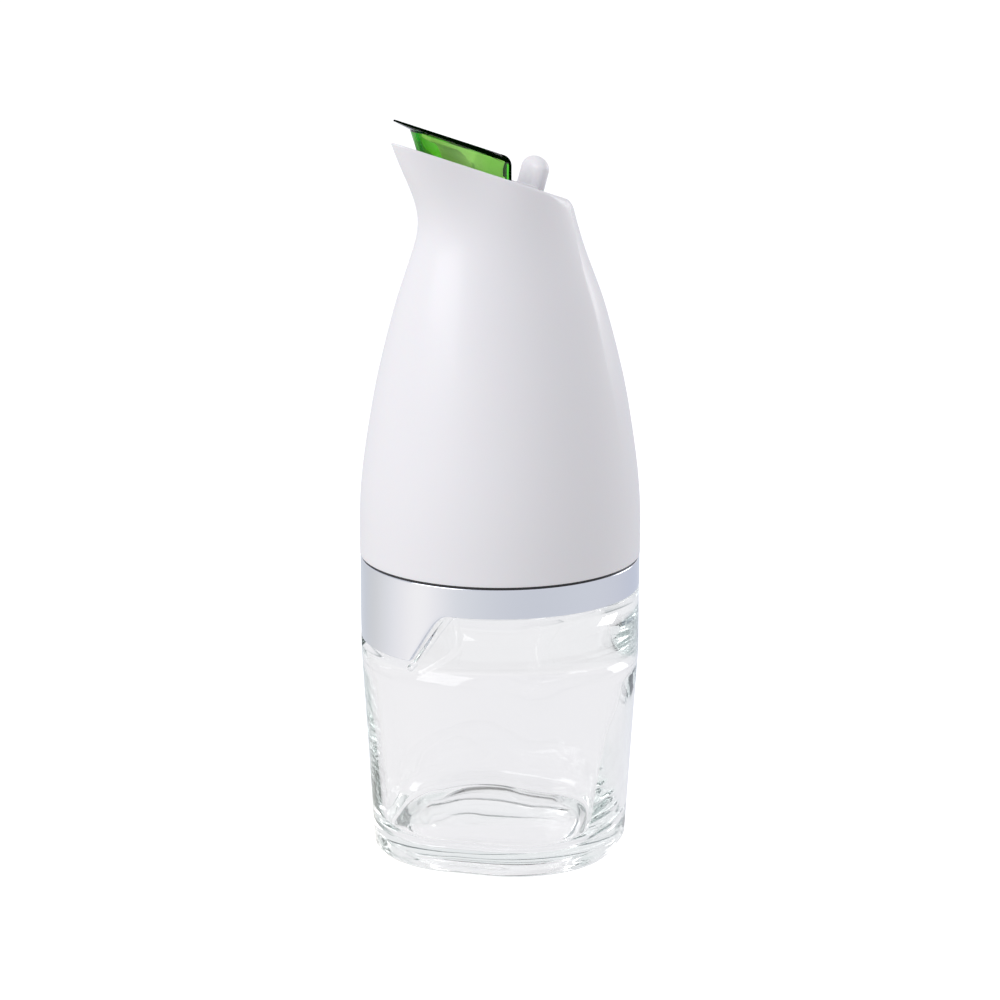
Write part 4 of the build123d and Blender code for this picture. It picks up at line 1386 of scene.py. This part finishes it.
@dataclass
class Studio:
    """Camera, lamps, pale floor and white surroundings."""

    azimuth: float = 61.0
    distance: float = 1.140
    camera_height: float = 0.384
    aim_height: float = 0.092
    lens: float = 164.1
    sensor_width: float = 36.0
    clip_start: float = 0.01
    lamp_aim: float = 0.1
    floor_half: float = 3.0
    floor_drop: float = 0.0003
    fill: float = 0.66
    fill_color: tuple[float, float, float] = (0.96, 0.96, 1.0)
    floor_color: tuple[float, float, float] = (0.62, 0.62, 0.63)
    glow: float = 0.66
    glass_bounces: int = 48
    far_tone: tuple[float, float, float] = (0.9, 0.895, 0.915)
    mirror_gain: float = 1.4
    mirror_stops: tuple[tuple[float, tuple[float, float, float]], ...] = (
        (-179.0, (0.74, 0.76, 0.82)), (-148.0, (0.74, 0.776, 0.83)), (-122.0, (0.87, 0.845, 0.80)),
        (-100.0, (1.056, 1.032, 1.006)), (-82.0, (1.216, 1.153, 1.10)), (-66.0, (1.32, 1.26, 1.17)),
        (-52.0, (1.216, 1.153, 1.105)), (-34.0, (1.01, 1.0, 0.975)), (0.0, (0.865, 0.86, 0.875)),
        (34.0, (0.831, 0.832, 0.852)), (72.0, (0.889, 0.889, 0.908)), (108.0, (0.85, 0.842, 0.87)),
        (144.0, (0.68, 0.72, 0.82)), (179.0, (0.72, 0.75, 0.82)),
    )
    tone_stops: tuple[tuple[float, tuple[float, float, float]], ...] = (
        (0.20, (0.86, 0.855, 0.88)),
        (0.34, (0.62, 0.64, 0.66)),
        (0.46, (0.22, 0.24, 0.25)),
        (0.58, (0.62, 0.64, 0.66)),
        (0.75, (0.86, 0.855, 0.88)),
    )
    lamps: tuple[Lamp, ...] = (
        Lamp("key_lamp", (0.05, -0.94, 0.75), 0.8, 6.0),
        Lamp("rim_lamp", (-0.09, 1.1, 0.40), 0.5, 2.4),
    )

    def camera(self) -> None:
        """Set the camera at the photograph's viewing angle."""
        turn = math.radians(self.azimuth)
        place = Vector((
            self.distance * math.sin(turn), -self.distance * math.cos(turn), self.camera_height,
        ))
        data = bpy.data.cameras.new("camera")
        data.lens = self.lens
        data.sensor_width = self.sensor_width
        data.clip_start = self.clip_start
        camera = bpy.data.objects.new("camera", data)
        camera.location = place
        aim = Vector((0.0, 0.0, self.aim_height)) - place
        camera.rotation_euler = aim.to_track_quat("-Z", "Y").to_euler()
        bpy.context.scene.collection.objects.link(camera)
        bpy.context.scene.camera = camera

    def surroundings(self) -> None:
        """White world for the camera, gloss and glass, with a soft fill for everything else."""
        world = bpy.data.worlds.new("surroundings")
        bpy.context.scene.world = world
        world.use_nodes = True
        world.node_tree.nodes.clear()
        nodes = Nodes(world.node_tree)
        path = nodes.add("ShaderNodeLightPath").outputs
        fill, pale, white = (
            nodes.add("ShaderNodeBackground", Color=(*color, 1.0), Strength=strength).outputs[0]
            for color, strength in ((self.fill_color, self.fill), (self.far_tone, 1.0), ((1, 1, 1), 1.0))
        )
        unseen = nodes.mix(self.mirror_or_glass(nodes, path), fill, pale)
        nodes.add("ShaderNodeOutputWorld", Surface=nodes.mix(path["Is Camera Ray"], unseen, white))

    @staticmethod
    def mirror_or_glass(nodes: Nodes, path: bpy.types.bpy_prop_collection) -> bpy.types.NodeSocket:
        """Mask of the rays that come from a mirror or through glass, from a Light Path node's outputs."""
        return nodes.math("MAXIMUM", path["Is Glossy Ray"], path["Is Transmission Ray"])

    def floor(self) -> None:
        """Pale floor that keeps the object's shadow and shows white in gloss and glass."""
        half, z = self.floor_half, -self.floor_drop
        data = bpy.data.meshes.new("floor")
        data.from_pydata(
            [(-half, -half, z), (half, -half, z), (half, half, z), (-half, half, z)], [], [(0, 1, 2, 3)]
        )
        floor = bpy.data.objects.new("floor", data)
        bpy.context.scene.collection.objects.link(floor)
        material = bpy.data.materials.new("pale_floor")
        material.use_nodes = True
        material.node_tree.nodes.clear()
        nodes = Nodes(material.node_tree)
        path = nodes.add("ShaderNodeLightPath").outputs
        place = nodes.add("ShaderNodeTexCoord").outputs["Object"]

        def glow(strength: float, color: object = (1.0, 1.0, 1.0, 1.0)) -> bpy.types.NodeSocket:
            """Light that the floor sends out."""
            return nodes.add("ShaderNodeEmission", Color=color, Strength=strength).outputs[0]

        matt = nodes.add("ShaderNodeBsdfDiffuse", Color=(*self.floor_color, 1.0)).outputs[0]
        seen = nodes.add("ShaderNodeAddShader", matt, glow(self.glow)).outputs[0]
        plain = nodes.mix(path["Is Camera Ray"], glow(self.fill), seen)
        mirrored = glow(self.mirror_gain, self.mirror_tone(nodes, place))
        through = glow(1.0, self.floor_tone(nodes, place))
        bright = nodes.mix(path["Transmission Depth"], mirrored, through)
        shown = nodes.mix(self.mirror_or_glass(nodes, path), plain, bright)
        nodes.add("ShaderNodeOutputMaterial", Surface=shown)
        data.materials.append(material)

    @staticmethod
    def ramp(nodes: Nodes, source: bpy.types.NodeSocket, stops: Sequence[tuple]) -> bpy.types.Node:
        """Add a colour ramp.

        Args:
            nodes: Helper of the tree.
            source: What drives the ramp.
            stops: Position and colour of each stop, rising.

        Returns:
            The ramp's node.
        """
        ramp = nodes.add("ShaderNodeValToRGB", source)
        elements = ramp.color_ramp.elements
        for element, (position, color) in zip(elements, (stops[0], stops[-1])):
            element.position, element.color = position, (*color, 1.0)
        for position, color in stops[1:-1]:
            elements.new(position).color = (*color, 1.0)
        return ramp

    def floor_tone(self, nodes: Nodes, place: bpy.types.NodeSocket) -> bpy.types.NodeSocket:
        """Tone of the floor through glass: pale, greyer towards its two sides.

        Args:
            nodes: Helper of the floor's tree.
            place: Its object coordinates.

        Returns:
            The colour socket.
        """
        turned = nodes.add("ShaderNodeMapping", place, Rotation=(0.0, 0.0, -math.radians(self.azimuth)))
        across = nodes.add("ShaderNodeSeparateXYZ", turned.outputs[0]).outputs["X"]
        return self.ramp(nodes, nodes.math("ABSOLUTE", across), self.tone_stops).outputs["Color"]

    def mirror_tone(self, nodes: Nodes, place: bpy.types.NodeSocket) -> bpy.types.NodeSocket:
        """Tone of the floor in bright metal, by the direction from the object.

        Args:
            nodes: Helper of the floor's tree.
            place: Its object coordinates.

        Returns:
            The colour socket.
        """
        turn = math.radians(90.0 - self.azimuth)
        turned = nodes.add("ShaderNodeMapping", place, Rotation=(0.0, 0.0, turn))
        around = nodes.add("ShaderNodeTexGradient", turned.outputs[0], gradient_type="RADIAL")
        ramp = self.ramp(nodes, around.outputs["Fac"], [
            (0.5 + turn / 360.0, tuple(part / self.mirror_gain for part in color))
            for turn, color in self.mirror_stops
        ])
        ramp.color_ramp.interpolation = "B_SPLINE"
        return ramp.outputs["Color"]

    def build(self) -> None:
        """Build the whole studio."""
        scene = bpy.context.scene
        scene.view_settings.view_transform = "Standard"
        for kind in ("max_bounces", "transmission_bounces", "glossy_bounces"):
            setattr(scene.cycles, kind, self.glass_bounces)
        self.camera()
        self.surroundings()
        self.floor()
        for lamp in self.lamps:
            lamp.build(Vector((0.0, 0.0, self.lamp_aim)))


DECK_SCREWS = Screws(
    "deck_screw_pair", "deck_screws", Body.HEAD, x=7.0 * MM, v=17.0 * MM, seat=-6.5 * MM, radius=1.0 * MM,
    length=9.0 * MM, head_radius=1.9 * MM, head_height=1.3 * MM,
)
LID_SCREWS = Screws(
    "lid_screw_pair", "lid_screws", Body.LID, x=3.4 * MM, v=-5.2 * MM, seat=-2.4 * MM, radius=0.8 * MM,
    length=5.0 * MM, head_radius=1.5 * MM, head_height=1.0 * MM, upside_down=True,
)


def main() -> None:
    """Build the studio and every piece of the cruet."""
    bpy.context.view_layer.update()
    Studio().build()
    for part in (Bottle(), HeadShell(), Collar(), Lid(), Lever(), DECK_SCREWS, LID_SCREWS, KeptNodes()):
        part.build()


if __name__ == "__main__":
    logging.basicConfig(level=logging.INFO, format="%(name)s: %(message)s")
    main()
